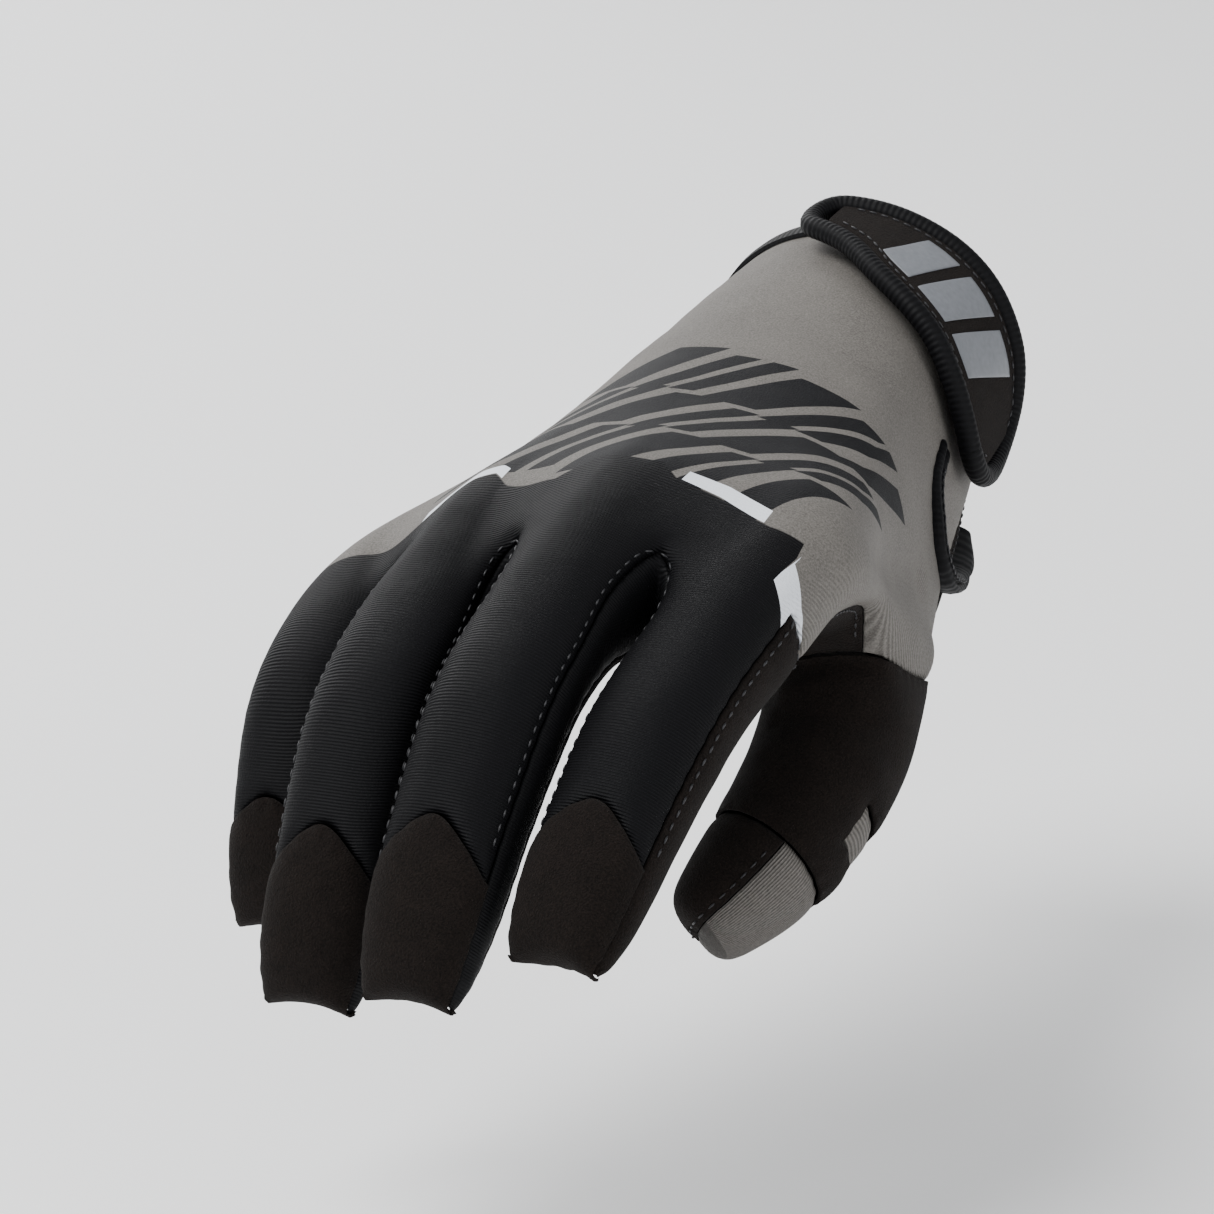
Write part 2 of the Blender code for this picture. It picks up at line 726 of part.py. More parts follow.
class Wrist:
    """The outside of the shell near the wrist opening, by angle and distance from the opening."""

    def __init__(self, shell):
        self.shell = shell

    def point(self, angle, y):
        """A place on the shell; y runs from the opening towards the fingers."""
        return self.shell.section_point(max(0.0, y) / PALM_LENGTH, angle % 360) - np.array([0, min(0.0, y), 0])

    def outward(self, angle, y):
        d = 0.5
        round_it = self.point(angle + d, y) - self.point(angle - d, y)
        along = self.point(angle, max(0.0, y) + 1 * MM) - self.point(angle, max(0.0, y))
        n = unit(np.cross(along, round_it))
        p = self.point(angle, y)
        return n if n @ np.array([p[0], 0, p[2]]) > 0 else -n

    def over(self, angle, y, height):
        return self.point(angle, y) + self.outward(angle, y) * height


def cuff_binding(shell, normals):
    """Tape folded over the edge of the wrist opening."""
    ring = list(range(ROUND))
    next_row = list(range(ROUND, 2 * ROUND))
    inside = WALL + 2 * FIT
    profile = (
        (BINDING_OVERLAP, FIT),
        (BINDING_OVERLAP, FIT + BINDING_WALL),
        (-FIT, FIT + BINDING_WALL),
        (-FIT - BINDING_WALL, 0.0),
        (-FIT - BINDING_WALL, -WALL),
        (-FIT, -inside - BINDING_WALL),
        (BINDING_OVERLAP, -inside - BINDING_WALL),
        (BINDING_OVERLAP, -inside),
        (-FIT, -inside),
        (-FIT, FIT),
    )
    rows = []
    for a, b in zip(ring, next_row):
        p, q = shell.points[a], shell.points[b]
        ahead = (q - p) / -(q - p)[1]
        up = normals[a]
        flat = unit(np.array([up[0], 0.0, up[2]]))
        rows.append([p + ahead * y + flat * h / (flat @ up) for y, h in profile])
    return sweep(rows, True)


def strap_edges(angle):
    near = table_value(STRAP_ROWS, "near", angle, "angle") * STRAP_WIDTH
    far = table_value(STRAP_ROWS, "far", angle, "angle") * STRAP_WIDTH
    lift = table_value(STRAP_ROWS, "lift", angle, "angle") * STRAP_RISE + STRAP_LIFT
    return near, far, lift


def end_turn(angle, margin):
    """How many degrees a rounded end of the strap reaches past its last row, less a margin."""
    near, far, _ = strap_edges(angle)
    reach = END_REACH * (far - near - PIPING) / 2 - margin
    return math.degrees(reach / (0.3 * HAND_WIDTH))


def strap_inside(angle):
    """The strap's edges inside its piping: further in where the edge runs at a slant or round an end."""
    near, far, lift = strap_edges(angle)
    before, after = strap_edges(angle - 1), strap_edges(angle + 1)
    arc = 2 * math.radians(1) * 0.3 * HAND_WIDTH
    margin = PIPING + FIT
    near += margin * math.hypot(1, (after[0] - before[0]) / arc)
    far -= margin * math.hypot(1, (after[1] - before[1]) / arc)
    first = STRAP_ROWS[0].angle
    past = max(0.0, first - angle) / end_turn(first, PIPING / 2 + FIT)
    middle = (near + far) / 2
    half = (far - near) / 2 * math.sqrt(max(0.0, 1 - past**2))
    return middle - half, middle + half, lift


def spaced(first, last, steps):
    return [first + (last - first) * k / steps for k in range(steps + 1)]


def strap_end(angle, outward):
    """The rounded end of the piping's path, at the last or first angle of the strap."""
    near, far, lift = strap_edges(angle)
    middle, reach = (near + far) / 2, (far - near - PIPING) / 2
    turn = end_turn(angle, 0.0)
    places = []
    for k in range(1, 8):
        a = math.pi * k / 8
        y = middle + outward * reach * math.cos(a)
        places.append((angle + outward * turn * math.sin(a), y, lift))
    return places


def strap_piping(wrist):
    """The padded edge all round the flap."""
    first, last = STRAP_ROWS[0].angle, STRAP_ROWS[-1].angle
    r = PIPING / 2
    path = [(a, strap_edges(a)[1] - r, strap_edges(a)[2]) for a in spaced(first, last, 22)]
    path += strap_end(last, 1)
    path += [(a, strap_edges(a)[0] + r, strap_edges(a)[2]) for a in spaced(last, first, 22)]
    path += strap_end(first, -1)
    centres = [wrist.over(a, y, lift + r) for a, y, lift in path]
    ups = [wrist.outward(a, y) for a, y, lift in path]
    rows = []
    for i, (c, up) in enumerate(zip(centres, ups)):
        ahead = unit(centres[(i + 1) % len(centres)] - centres[i - 1])
        side = unit(np.cross(ahead, up))
        up = np.cross(side, ahead)
        turns = [2 * math.pi * k / 8 for k in range(8)]
        rows.append([c + r * (math.cos(a) * side + math.sin(a) * up) for a in turns])
    return sweep(rows, True)


def strap_flap(wrist):
    """The suede inside the piping."""
    rows, normals = [], []
    for angle in spaced(*FLAP_ANGLES, 20):
        near, far, lift = strap_inside(angle)
        ys = spaced(near, far, 3)
        rows.append([wrist.over(angle, y, lift + FLAP_RISE) for y in ys])
        normals.append([wrist.outward(angle, y) for y in ys])
    return slab(rows, normals, STRAP_WALL)


def strap_pad(wrist, first, last, lean):
    """A glossy raised patch on the strap, slanted by lean degrees."""
    rows, normals = [], []
    for share in spaced(0.12, 0.88, 3):
        row, norms = [], []
        for angle in spaced(first, last, 5):
            a = angle + lean * (share - 0.5)
            near, far, lift = strap_inside(a)
            y = near + (far - near) * share
            row.append(wrist.over(a, y, lift + FLAP_RISE + STRAP_WALL + FIT))
            norms.append(wrist.outward(a, y))
        rows.append(row)
        normals.append(norms)
    return slab(rows, normals, PAD_WALL)


def hook_patch(wrist):
    """The part of the closure that lies hidden between the strap and the cuff."""
    rows, normals = [], []
    for angle in spaced(30, 74, 8):
        ys = spaced(7.5 * MM, 15 * MM, 2)
        rows.append([wrist.over(angle, y, FIT) for y in ys])
        normals.append([wrist.outward(angle, y) for y in ys])
    return slab(rows, normals, STRAP_LIFT - 2 * FIT)


def slit_binding(wrist):
    """The tape round the slit below the strap, puckered where the strap draws it together."""

    def place(t):
        angle = table_value(SLIT_ROWS, "angle", t)
        far = table_value(SLIT_ROWS, "far", t) * SLIT_LENGTH
        return wrist.over(angle, far, 2 * FIT), wrist.outward(angle, far)

    rows = []
    for t in spaced(0, 1, 20):
        rise = table_value(SLIT_ROWS, "rise", t) * MM
        half = SLIT_TAPE / 2 * (1 - 0.6 * smoothstep((t - 0.85) / 0.15))
        c, up = place(t)
        ahead = unit(place(min(1, t + 0.02))[0] - place(max(0, t - 0.02))[0])
        side = unit(np.cross(ahead, up))
        outline = ((-1, 0), (-1, 0.5), (-0.55, 1), (0, 0.72), (0.55, 1), (1, 0.5), (1, 0))
        rows.append([c + side * half * u + up * rise * v for u, v in outline])
    return sweep(rows, False)


# The whole glove

KNIT = (0.012, 0.012, 0.014)
GREY_KNIT = (0.27, 0.255, 0.235)
SUEDE = (0.024, 0.019, 0.016)
TAPE = (0.010, 0.010, 0.014)
GLOSS = (0.42, 0.43, 0.45)


def build():
    for obj in list(bpy.data.objects):
        bpy.data.objects.remove(obj, do_unlink=True)
    shell = Shell()
    shell.build()
    normals = shell_normals(shell)
    rim = set(range(ROUND))
    wrist = Wrist(shell)

    make_object("back_panel", *panel_solid(shell, normals, "back_panel", rim), (GREY_KNIT, 0.9))
    make_object("palm_panel", *panel_solid(shell, normals, "palm_panel", rim), (SUEDE, 0.95))
    for finger in FINGERS[:3]:
        name = finger.name + "_side"
        make_object(name, *panel_solid(shell, normals, name, rim), (KNIT, 0.85))
    for finger in FINGERS:
        name = finger.name + "_cap"
        make_object(name, *panel_solid(shell, normals, name, rim, SUEDE_RAISE), (SUEDE, 0.95))
    for name, raise_by, material in (
        ("thumb_base", SUEDE_RAISE, (SUEDE, 0.95)),
        ("thumb_inset", 0.0, (GREY_KNIT, 0.9)),
        ("thumb_nail_panel", 0.0, (GREY_KNIT, 0.9)),
        ("thumb_pad_panel", 0.0, (SUEDE, 0.95)),
    ):
        make_object(name, *panel_solid(shell, normals, name, rim, raise_by), material)

    make_object("cuff_binding", *cuff_binding(shell, normals), (TAPE, 0.8))
    make_object("strap_piping", *strap_piping(wrist), (TAPE, 0.85))
    make_object("strap_flap", *strap_flap(wrist), (SUEDE, 0.95))
    for n, (first, last, lean) in enumerate(((10, 26, 8), (31, 47, 8), (52, 66, 8)), start=1):
        make_object("strap_pad_%d" % n, *strap_pad(wrist, first, last, lean), (GLOSS, 0.35))
    make_object("strap_hook_patch", *hook_patch(wrist), (TAPE, 0.9))
    make_object("slit_binding", *slit_binding(wrist), (TAPE, 0.85))


build()
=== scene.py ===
"""Looks of a motocross glove for the right hand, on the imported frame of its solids.

The sewn skin is drawn once as a coarse cage, smoothed, folded and then cut into its panels, so that
every seam fits. The tables repeat those of the solids, in shares of the same named sizes.
"""

import logging
import math
from dataclasses import dataclass, field
from enum import Enum
from typing import NamedTuple

import bmesh
import bpy
import numpy as np
from mathutils import Matrix, Vector, noise
from mathutils.bvhtree import BVHTree
from mathutils.kdtree import KDTree


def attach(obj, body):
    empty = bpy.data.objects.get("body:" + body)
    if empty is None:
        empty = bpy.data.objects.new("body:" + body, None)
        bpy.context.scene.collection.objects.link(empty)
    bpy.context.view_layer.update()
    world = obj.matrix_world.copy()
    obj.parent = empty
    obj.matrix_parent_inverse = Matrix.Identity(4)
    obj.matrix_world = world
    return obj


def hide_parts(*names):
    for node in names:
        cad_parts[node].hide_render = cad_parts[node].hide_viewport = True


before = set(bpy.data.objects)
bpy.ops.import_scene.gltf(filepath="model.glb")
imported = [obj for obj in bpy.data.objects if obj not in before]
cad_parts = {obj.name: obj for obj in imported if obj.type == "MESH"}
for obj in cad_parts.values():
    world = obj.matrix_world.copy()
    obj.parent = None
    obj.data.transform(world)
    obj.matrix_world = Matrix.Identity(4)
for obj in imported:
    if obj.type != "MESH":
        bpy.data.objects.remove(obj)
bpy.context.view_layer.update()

LOG = logging.getLogger("glove")
MM = 0.001

# Main sizes of the glove, as in the solids
PALM_LENGTH = 152 * MM
HAND_WIDTH = 98 * MM
HAND_HEIGHT = 34 * MM
FINGER_LENGTH = 82 * MM
FINGER_WIDTH = 24.5 * MM
FINGER_HEIGHT = 22 * MM
THUMB_LENGTH = 112 * MM
THUMB_WIDTH = 27 * MM
WALL = 1.2 * MM

# Where the fingers bend
KNUCKLE_BACK = 20 * MM
MIDDLE_JOINT = 0.34
TIP_JOINT = 0.70
BEND_REACH = 26 * MM
SPREAD_REACH = 60 * MM
TIP_PAST = 6 * MM
CAP_RISE = 0.15
TIP_HOLLOW = 1.9 * MM

# Cloth and its seams
CAP_RAISE = 0.55 * MM
SUEDE_WALL = 0.4 * MM
SIDE_WALL = 0.3 * MM
EDGE_DRAW = 0.12 * MM
SEAM_REACH = 6 * MM
SEAM_DEPTH = 0.45 * MM
SEAM_WIDTH = 1.7 * MM
PUCKER = 0.28
PUCKER_PITCH = 4.2 * MM
PUCKER_FADE = 9 * MM
UNEVEN = ((0.28 * MM, 45), (0.10 * MM, 160))
SHORTEST_SEAM = 6
TIGHTEST_TURN = 0.45

# The weave: where it wraps round the sides, and how the fingers' lines are followed
WRAP_THUMB = 8 * MM
WRAP_LITTLE = -4 * MM
LINE_START = -30 * MM
LINE_PAST = 7 * MM
LINE_STEP = 1 * MM
LINE_REACH = 9 * MM
LINE_BLEND = (-28 * MM, -8 * MM)

# Wrist and strap
WRIST_RADIUS = 0.3 * HAND_WIDTH
FIT = 0.3 * MM
BINDING_OVERLAP = 5 * MM
BINDING_WALL = 1.0 * MM
STRAP_WIDTH = 34 * MM
STRAP_LIFT = 1.7 * MM
STRAP_RISE = 2.0 * MM
STRAP_WALL = 1.8 * MM
FLAP_RISE = 1.2 * MM
FLAP_TOP = FLAP_RISE + 0.75 * STRAP_WALL
STRAP_CROWN = 0.5 * MM
PIPING = 4.2 * MM
SLIT_LENGTH = 50 * MM
SLIT_TAPE = 4.2 * MM

# Segments of the cage
STEPS = 6
TOPS = 4 * STEPS + 1
ROUND = 2 * TOPS + 2
FIRST_UNDER = TOPS + 1
THUMB_SIDE = ROUND - 1
THUMB_ROWS = (3, 8)
THUMB_COLUMNS = (42, 50)
SLIT_COLUMN = 48
CAP_RING = 7
SEAM_ANGLE = 16
FINGER_SEAM_ANGLE = 15
WEB_SEAM_ANGLE = 50
WEB_SEAM_RISE = 30
WEB_SEAM_FALL = 28
WEB_RISE_REACH = 28 * MM
WEB_FALL_REACH = 16 * MM
THENAR_ANGLE = -54
THUMB_RINGS = 12
RAIL_RINGS = 5
THUMB_START = 0.42
THUMB_RELAX = 3
THUMB_END = 0.8 * MM
THUMB_TIP_WEAVE = 4 * MM
THUMB_POINT_WEAVE = THUMB_WIDTH / 8
NAIL_SIDE = (0.93, -0.25, -0.10)
BASE_EDGE = 3
BASE_END = 9
LITTLE_MID = STEPS + 1
UNDER = STEPS + 2
THUMB_MID = 2 * STEPS + 3
ROUND_FINGER = 2 * STEPS + 4
WEB_SHIFT = {"top": -6 * MM, "middle": -1 * MM, "under": 2 * MM}
SKIN_LEVELS = 3


class Finger(NamedTuple):
    """A finger: shares of the glove's sizes, its spread and its three bends in degrees."""

    name: str
    length: float
    width: float
    across: float
    forward: float
    up: float
    spread: float
    knuckle: float
    middle: float
    tip: float


FINGERS = (
    Finger("index", 0.88, 0.99, 0.422, 0.985, -0.030, -7, 24, 17, 5),
    Finger("middle", 1.00, 1.00, 0.145, 1.010, 0.005, -3, 23, 27, 6),
    Finger("ring", 0.98, 0.97, -0.115, 0.985, -0.050, -1, 21, 36, 6),
    Finger("little", 0.75, 0.85, -0.340, 0.930, -0.145, 2, 15, 52, 8),
)


class Ring(NamedTuple):
    """A station along a finger: size there, and how much it follows the cap's point."""

    along: float
    width: float
    height: float
    point: float


FINGER_RINGS = (
    Ring(0.00, 1.00, 1.06, 0.00),
    Ring(0.10, 1.00, 1.04, 0.00),
    Ring(0.20, 0.98, 1.00, 0.00),
    Ring(0.31, 0.99, 1.00, 0.00),
    Ring(0.42, 1.00, 1.01, 0.12),
    Ring(0.53, 0.98, 0.96, 0.35),
    Ring(0.65, 0.95, 0.92, 0.68),
    Ring(0.76, 0.94, 0.90, 1.00),
    Ring(0.85, 0.90, 0.80, 0.45),
    Ring(0.92, 0.85, 0.66, 0.15),
    Ring(0.97, 0.77, 0.50, 0.00),
    Ring(1.00, 0.68, 0.32, 0.00),
)


class Section(NamedTuple):
    """A section of the hand, in shares of HAND_WIDTH and HAND_HEIGHT."""

    along: float
    thumb_side: float
    little_side: float
    back: float
    palm: float
    arch: float
    thenar: float


HAND_SECTIONS = (
    Section(0.00, 0.286, 0.297, 0.79, 0.84, 0.00, -0.12),
    Section(0.15, 0.284, 0.290, 0.70, 0.80, 0.00, 0.34),
    Section(0.30, 0.310, 0.292, 0.60, 0.76, 0.02, 0.56),
    Section(0.45, 0.370, 0.310, 0.54, 0.70, 0.15, 0.52),
    Section(0.60, 0.430, 0.330, 0.50, 0.62, 0.32, 0.34),
    Section(0.75, 0.490, 0.345, 0.50, 0.58, 0.48, 0.12),
    Section(0.88, 0.525, 0.385, 0.50, 0.52, 0.55, 0.03),
    Section(1.00, 0.530, 0.415, 0.48, 0.50, 0.55, 0.00),
)
HAND_STATIONS = (0.0, 0.09, 0.18, 0.27, 0.36, 0.45, 0.54, 0.62, 0.70, 0.78, 0.86, 0.93, 1.0)


class ThumbSection(NamedTuple):
    """A section of the thumb: its place in shares of THUMB_LENGTH, its size in THUMB_WIDTH."""

    out: float
    forward: float
    down: float
    width: float
    height: float


THUMB_SECTIONS = (
    ThumbSection(0.280, 0.67, 0.20, 2.10, 1.30),
    ThumbSection(0.295, 0.72, 0.26, 1.75, 1.20),
    ThumbSection(0.310, 0.79, 0.33, 1.35, 1.06),
    ThumbSection(0.318, 0.89, 0.39, 1.06, 0.94),
    ThumbSection(0.308, 1.00, 0.46, 0.96, 0.86),
    ThumbSection(0.270, 1.10, 0.53, 0.86, 0.74),
    ThumbSection(0.225, 1.17, 0.59, 0.64, 0.46),
)


class StrapRow(NamedTuple):
    """The strap at an angle round the wrist: its two edges in shares of STRAP_WIDTH, and its lift."""

    angle: float
    near: float
    far: float
    lift: float


STRAP_ROWS = (
    StrapRow(-2, 0.03, 1.00, 0.0),
    StrapRow(8, 0.00, 1.01, 0.0),
    StrapRow(22, 0.00, 1.00, 0.0),
    StrapRow(36, 0.00, 0.96, 0.1),
    StrapRow(50, 0.00, 0.91, 0.1),
    StrapRow(66, 0.00, 0.80, 0.1),
    StrapRow(80, 0.00, 0.63, 0.3),
    StrapRow(93, 0.01, 0.50, 0.6),
)
END_REACH = 0.5
FLAP_ANGLES = (-10, 92)


class SlitRow(NamedTuple):
    """The tape round the slit: angle round the wrist, distance and rise."""

    along: float
    angle: float
    far: float
    rise: float


SLIT_ROWS = (
    SlitRow(0.00, -1, 0.70, 0.6),
    SlitRow(0.20, -5, 0.90, 1.2),
    SlitRow(0.38, -12, 1.01, 1.7),
    SlitRow(0.52, -19, 1.04, 2.0),
    SlitRow(0.66, -28, 0.93, 2.5),
    SlitRow(0.80, -36, 0.70, 3.2),
    SlitRow(0.91, -40, 0.50, 3.6),
    SlitRow(1.00, -40, 0.34, 2.4),
)


class Panel(Enum):
    """The sewn panels of the skin, in the order of their face numbers."""

    BACK = "back_panel"
    PALM = "palm_panel"
    INDEX_SIDE = "index_side"
    MIDDLE_SIDE = "middle_side"
    RING_SIDE = "ring_side"
    INDEX_CAP = "index_cap"
    MIDDLE_CAP = "middle_cap"
    RING_CAP = "ring_cap"
    LITTLE_CAP = "little_cap"
    THUMB_BASE = "thumb_base"
    THUMB_INSET = "thumb_inset"
    THUMB_NAIL = "thumb_nail_panel"
    THUMB_PAD = "thumb_pad_panel"


PANEL_NAMES = [p.value for p in Panel]


def smoothstep(x: float) -> float:
    """0 below 0, 1 above 1 and smooth between."""
    x = min(1.0, max(0.0, x))
    return x * x * (3 - 2 * x)


def hermite(start: object, leave: object, end: object, arrive: object, t: float) -> object:
    """A cubic at t between two numbers or places.

    Args:
        start: where it starts.
        leave: its slope there.
        end: where it ends.
        arrive: its slope there.
        t: from 0 to 1.

    Returns:
        The number or place at t.
    """
    return (
        start * (2 * t**3 - 3 * t**2 + 1)
        + leave * (t**3 - 2 * t**2 + t)
        + end * (-2 * t**3 + 3 * t**2)
        + arrive * (t**3 - t**2)
    )


def curve_value(xs: list[float], ys: list[float], x: float) -> float:
    """A smooth curve through points, read at one place.

    Args:
        xs: places of the points, rising.
        ys: values there.
        x: where to read.

    Returns:
        The value at x.
    """
    x = min(xs[-1], max(xs[0], x))
    i = max(1, min(len(xs) - 1, int(np.searchsorted(xs, x))))
    slopes = []
    for k in (i - 1, i):
        a, b = max(0, k - 1), min(len(xs) - 1, k + 1)
        slopes.append((ys[b] - ys[a]) / (xs[b] - xs[a]))
    h = xs[i] - xs[i - 1]
    return hermite(ys[i - 1], slopes[0] * h, ys[i], slopes[1] * h, (x - xs[i - 1]) / h)


def table_value(rows: tuple, column: str, at: float, key: str = "along") -> float:
    """A column of a table, on a smooth curve through its rows.

    Args:
        rows: the table.
        column: the column's name.
        at: where to read.
        key: the column that holds the stations.

    Returns:
        The value at that station.
    """
    return curve_value([getattr(r, key) for r in rows], [getattr(r, column) for r in rows], at)


def unit(v: np.ndarray) -> np.ndarray:
    """The vector at length 1."""
    v = np.asarray(v, float)
    return v / np.linalg.norm(v)


def spaced(first: float, last: float, steps: int) -> list[float]:
    """Even places from first to last, both included."""
    return [first + (last - first) * k / steps for k in range(steps + 1)]


def rounded(
    angle: float, half_width: float, top: float, bottom: float, power: float = 2.25
) -> tuple[float, float]:
    """A point of a rounded section.

    Args:
        angle: degrees from the thumb side over the back.
        half_width: half its width.
        top: its height over the middle.
        bottom: its depth under the middle.
        power: 2 for an ellipse, more for a squarer outline.

    Returns:
        The place across and up.
    """
    a = math.radians(angle)
    c, s = math.cos(a), math.sin(a)
    e = 2 / power
    x = math.copysign(abs(c) ** e, c) * half_width
    z = math.copysign(abs(s) ** e, s) * (top if s > 0 else bottom)
    return x, z


class CentreLine:
    """The line through the middle of a finger, by distance from its crotch; less than 0 is in the hand."""

    STEP = 0.5 * MM

    def __init__(self, finger: Finger) -> None:
        """Walks the line both ways from the crotch."""
        self.finger = finger
        self.length = finger.length * FINGER_LENGTH
        self.width = finger.width * FINGER_WIDTH
        self.height = finger.width * FINGER_HEIGHT
        start = (finger.across * HAND_WIDTH, -finger.forward * PALM_LENGTH, finger.up * HAND_WIDTH)
        self.ahead = self.walk(np.array(start), 1, self.length + TIP_PAST)
        self.behind = self.walk(np.array(start), -1, 0.6 * PALM_LENGTH)

    def bend(self, s: float) -> float:
        """Degrees below the back of the hand at s."""
        places = (-KNUCKLE_BACK, MIDDLE_JOINT * self.length, TIP_JOINT * self.length)
        bends = (self.finger.knuckle, self.finger.middle, self.finger.tip)
        return sum(b * smoothstep((s - p) / BEND_REACH + 0.5) for p, b in zip(places, bends))

    def direction(self, s: float) -> np.ndarray:
        """The way the finger runs at s."""
        down = math.radians(self.bend(s))
        turn = math.radians(self.finger.spread) * smoothstep(s / SPREAD_REACH + 1)
        return np.array([math.sin(turn) * math.cos(down), -math.cos(turn) * math.cos(down), -math.sin(down)])

    def walk(self, p: np.ndarray, sign: int, reach: float) -> list[np.ndarray]:
        """Points along the line.

        Args:
            p: where it starts.
            sign: 1 towards the tip, -1 towards the wrist.
            reach: how far it goes.

        Returns:
            Points one STEP apart.
        """
        points = [p]
        for i in range(int(reach / self.STEP) + 1):
            p = p + sign * self.STEP * self.direction(sign * (i + 0.5) * self.STEP)
            points.append(p)
        return points

    def at(self, s: float) -> np.ndarray:
        """The point of the line at s."""
        line = self.ahead if s >= 0 else self.behind
        u = abs(s) / self.STEP
        i = min(len(line) - 2, int(u))
        return line[i] + (u - i) * (line[i + 1] - line[i])

    def point(self, s: float, angle: float, width: float, height: float) -> np.ndarray:
        """A point of the finger's skin.

        Args:
            s: distance from the crotch.
            angle: degrees from the thumb side over the back.
            width: the finger's width there.
            height: its height there.

        Returns:
            The point.
        """
        ahead = self.direction(s)
        turn = math.radians(self.finger.spread)
        side = np.array([math.cos(turn), math.sin(turn), 0.0])
        up = unit(np.cross(ahead, side))
        if up[2] < 0:
            up = -up
        x, z = rounded(angle, width / 2, height / 2, height / 2)
        return self.at(s) + side * x + up * z


class ThumbLine:
    """The line through the middle of the thumb, by share of its length, and the sections on it."""

    def __init__(self) -> None:
        """Reads the table of sections."""
        self.places = np.array([[t.out, -t.forward, -t.down] for t in THUMB_SECTIONS]) * THUMB_LENGTH
        self.shares = [i / (len(THUMB_SECTIONS) - 1) for i in range(len(THUMB_SECTIONS))]

    def path(self, t: float) -> np.ndarray:
        """The thumb's middle at t."""
        return np.array([curve_value(self.shares, list(self.places[:, c]), t) for c in range(3)])

    def axes(self, t: float) -> tuple[np.ndarray, np.ndarray, np.ndarray]:
        """Ahead, sideways and towards the nail at t."""
        ahead = unit(self.path(min(1.0, t + 0.03)) - self.path(max(0.0, t - 0.03)))
        side = unit(np.cross(ahead, NAIL_SIDE))
        return ahead, side, np.cross(side, ahead)

    def half(self, column: str, t: float) -> float:
        """Half the thumb's width or height at t."""
        return curve_value(self.shares, [getattr(r, column) for r in THUMB_SECTIONS], t) * THUMB_WIDTH / 2

    def ring(self, t: float, angles: np.ndarray) -> list[np.ndarray]:
        """The points round the thumb at t, at these angles in degrees."""
        _, side, up = self.axes(t)
        width, height = self.half("width", t), self.half("height", t)
        ring = []
        for angle in angles:
            x, z = rounded(angle, width, height, height, 2.1)
            ring.append(self.path(t) + side * x + up * z)
        return ring

    def angles(self, loop: list[np.ndarray]) -> np.ndarray:
        """Even angles round the thumb, turned to follow the opening that it leaves by.

        Args:
            loop: the points round the opening.

        Returns:
            An angle in degrees for each of the points.
        """
        count = len(loop)
        _, side, up = self.axes(0.0)
        centre = sum(loop) / count
        own = np.degrees(np.unwrap([math.atan2((p - centre) @ up, (p - centre) @ side) for p in loop]))
        turn = 1 if own[-1] > own[0] else -1
        even = turn * 360 / count * np.arange(count)
        return even + np.mean(own - even)


def rail(start: np.ndarray, end: np.ndarray, ahead: np.ndarray, t: float) -> np.ndarray:
    """A curve at t from the hand to the thumb's first whole section, where it runs ahead."""
    reach = end - start
    return hermite(start, reach, end, ahead * np.linalg.norm(reach), t)


def seam_angle(s: float, web: bool) -> float:
    """Degrees above the side of a finger where its back ends; higher at a web between fingers."""
    if not web:
        return FINGER_SEAM_ANGLE
    if s < 0:
        return WEB_SEAM_ANGLE + WEB_SEAM_RISE * smoothstep(-s / WEB_RISE_REACH)
    return WEB_SEAM_ANGLE - WEB_SEAM_FALL * smoothstep(s / WEB_FALL_REACH)


def ring_angles(finger: int, s: float) -> list[float]:
    """The angles round a finger: back, little side, palm side, thumb side."""
    near = seam_angle(s, finger > 0)
    far = seam_angle(s, finger < 3)
    back = [near + (180 - far - near) * k / STEPS for k in range(STEPS + 1)]
    under = [180 + far + (180 - near - far) * k / STEPS for k in range(STEPS + 1)]
    return back + [180.0] + under + [360.0]


def web_shift(finger: int, k: int) -> float:
    """The web's shift for point k of a finger's ring, or 0 off the webs."""
    little_web = finger < 3
    thumb_web = finger > 0
    if (k == STEPS and little_web) or (k == 0 and thumb_web):
        return WEB_SHIFT["top"]
    if (k == UNDER and little_web) or (k == THUMB_MID - 1 and thumb_web):
        return WEB_SHIFT["under"]
    return 0.0


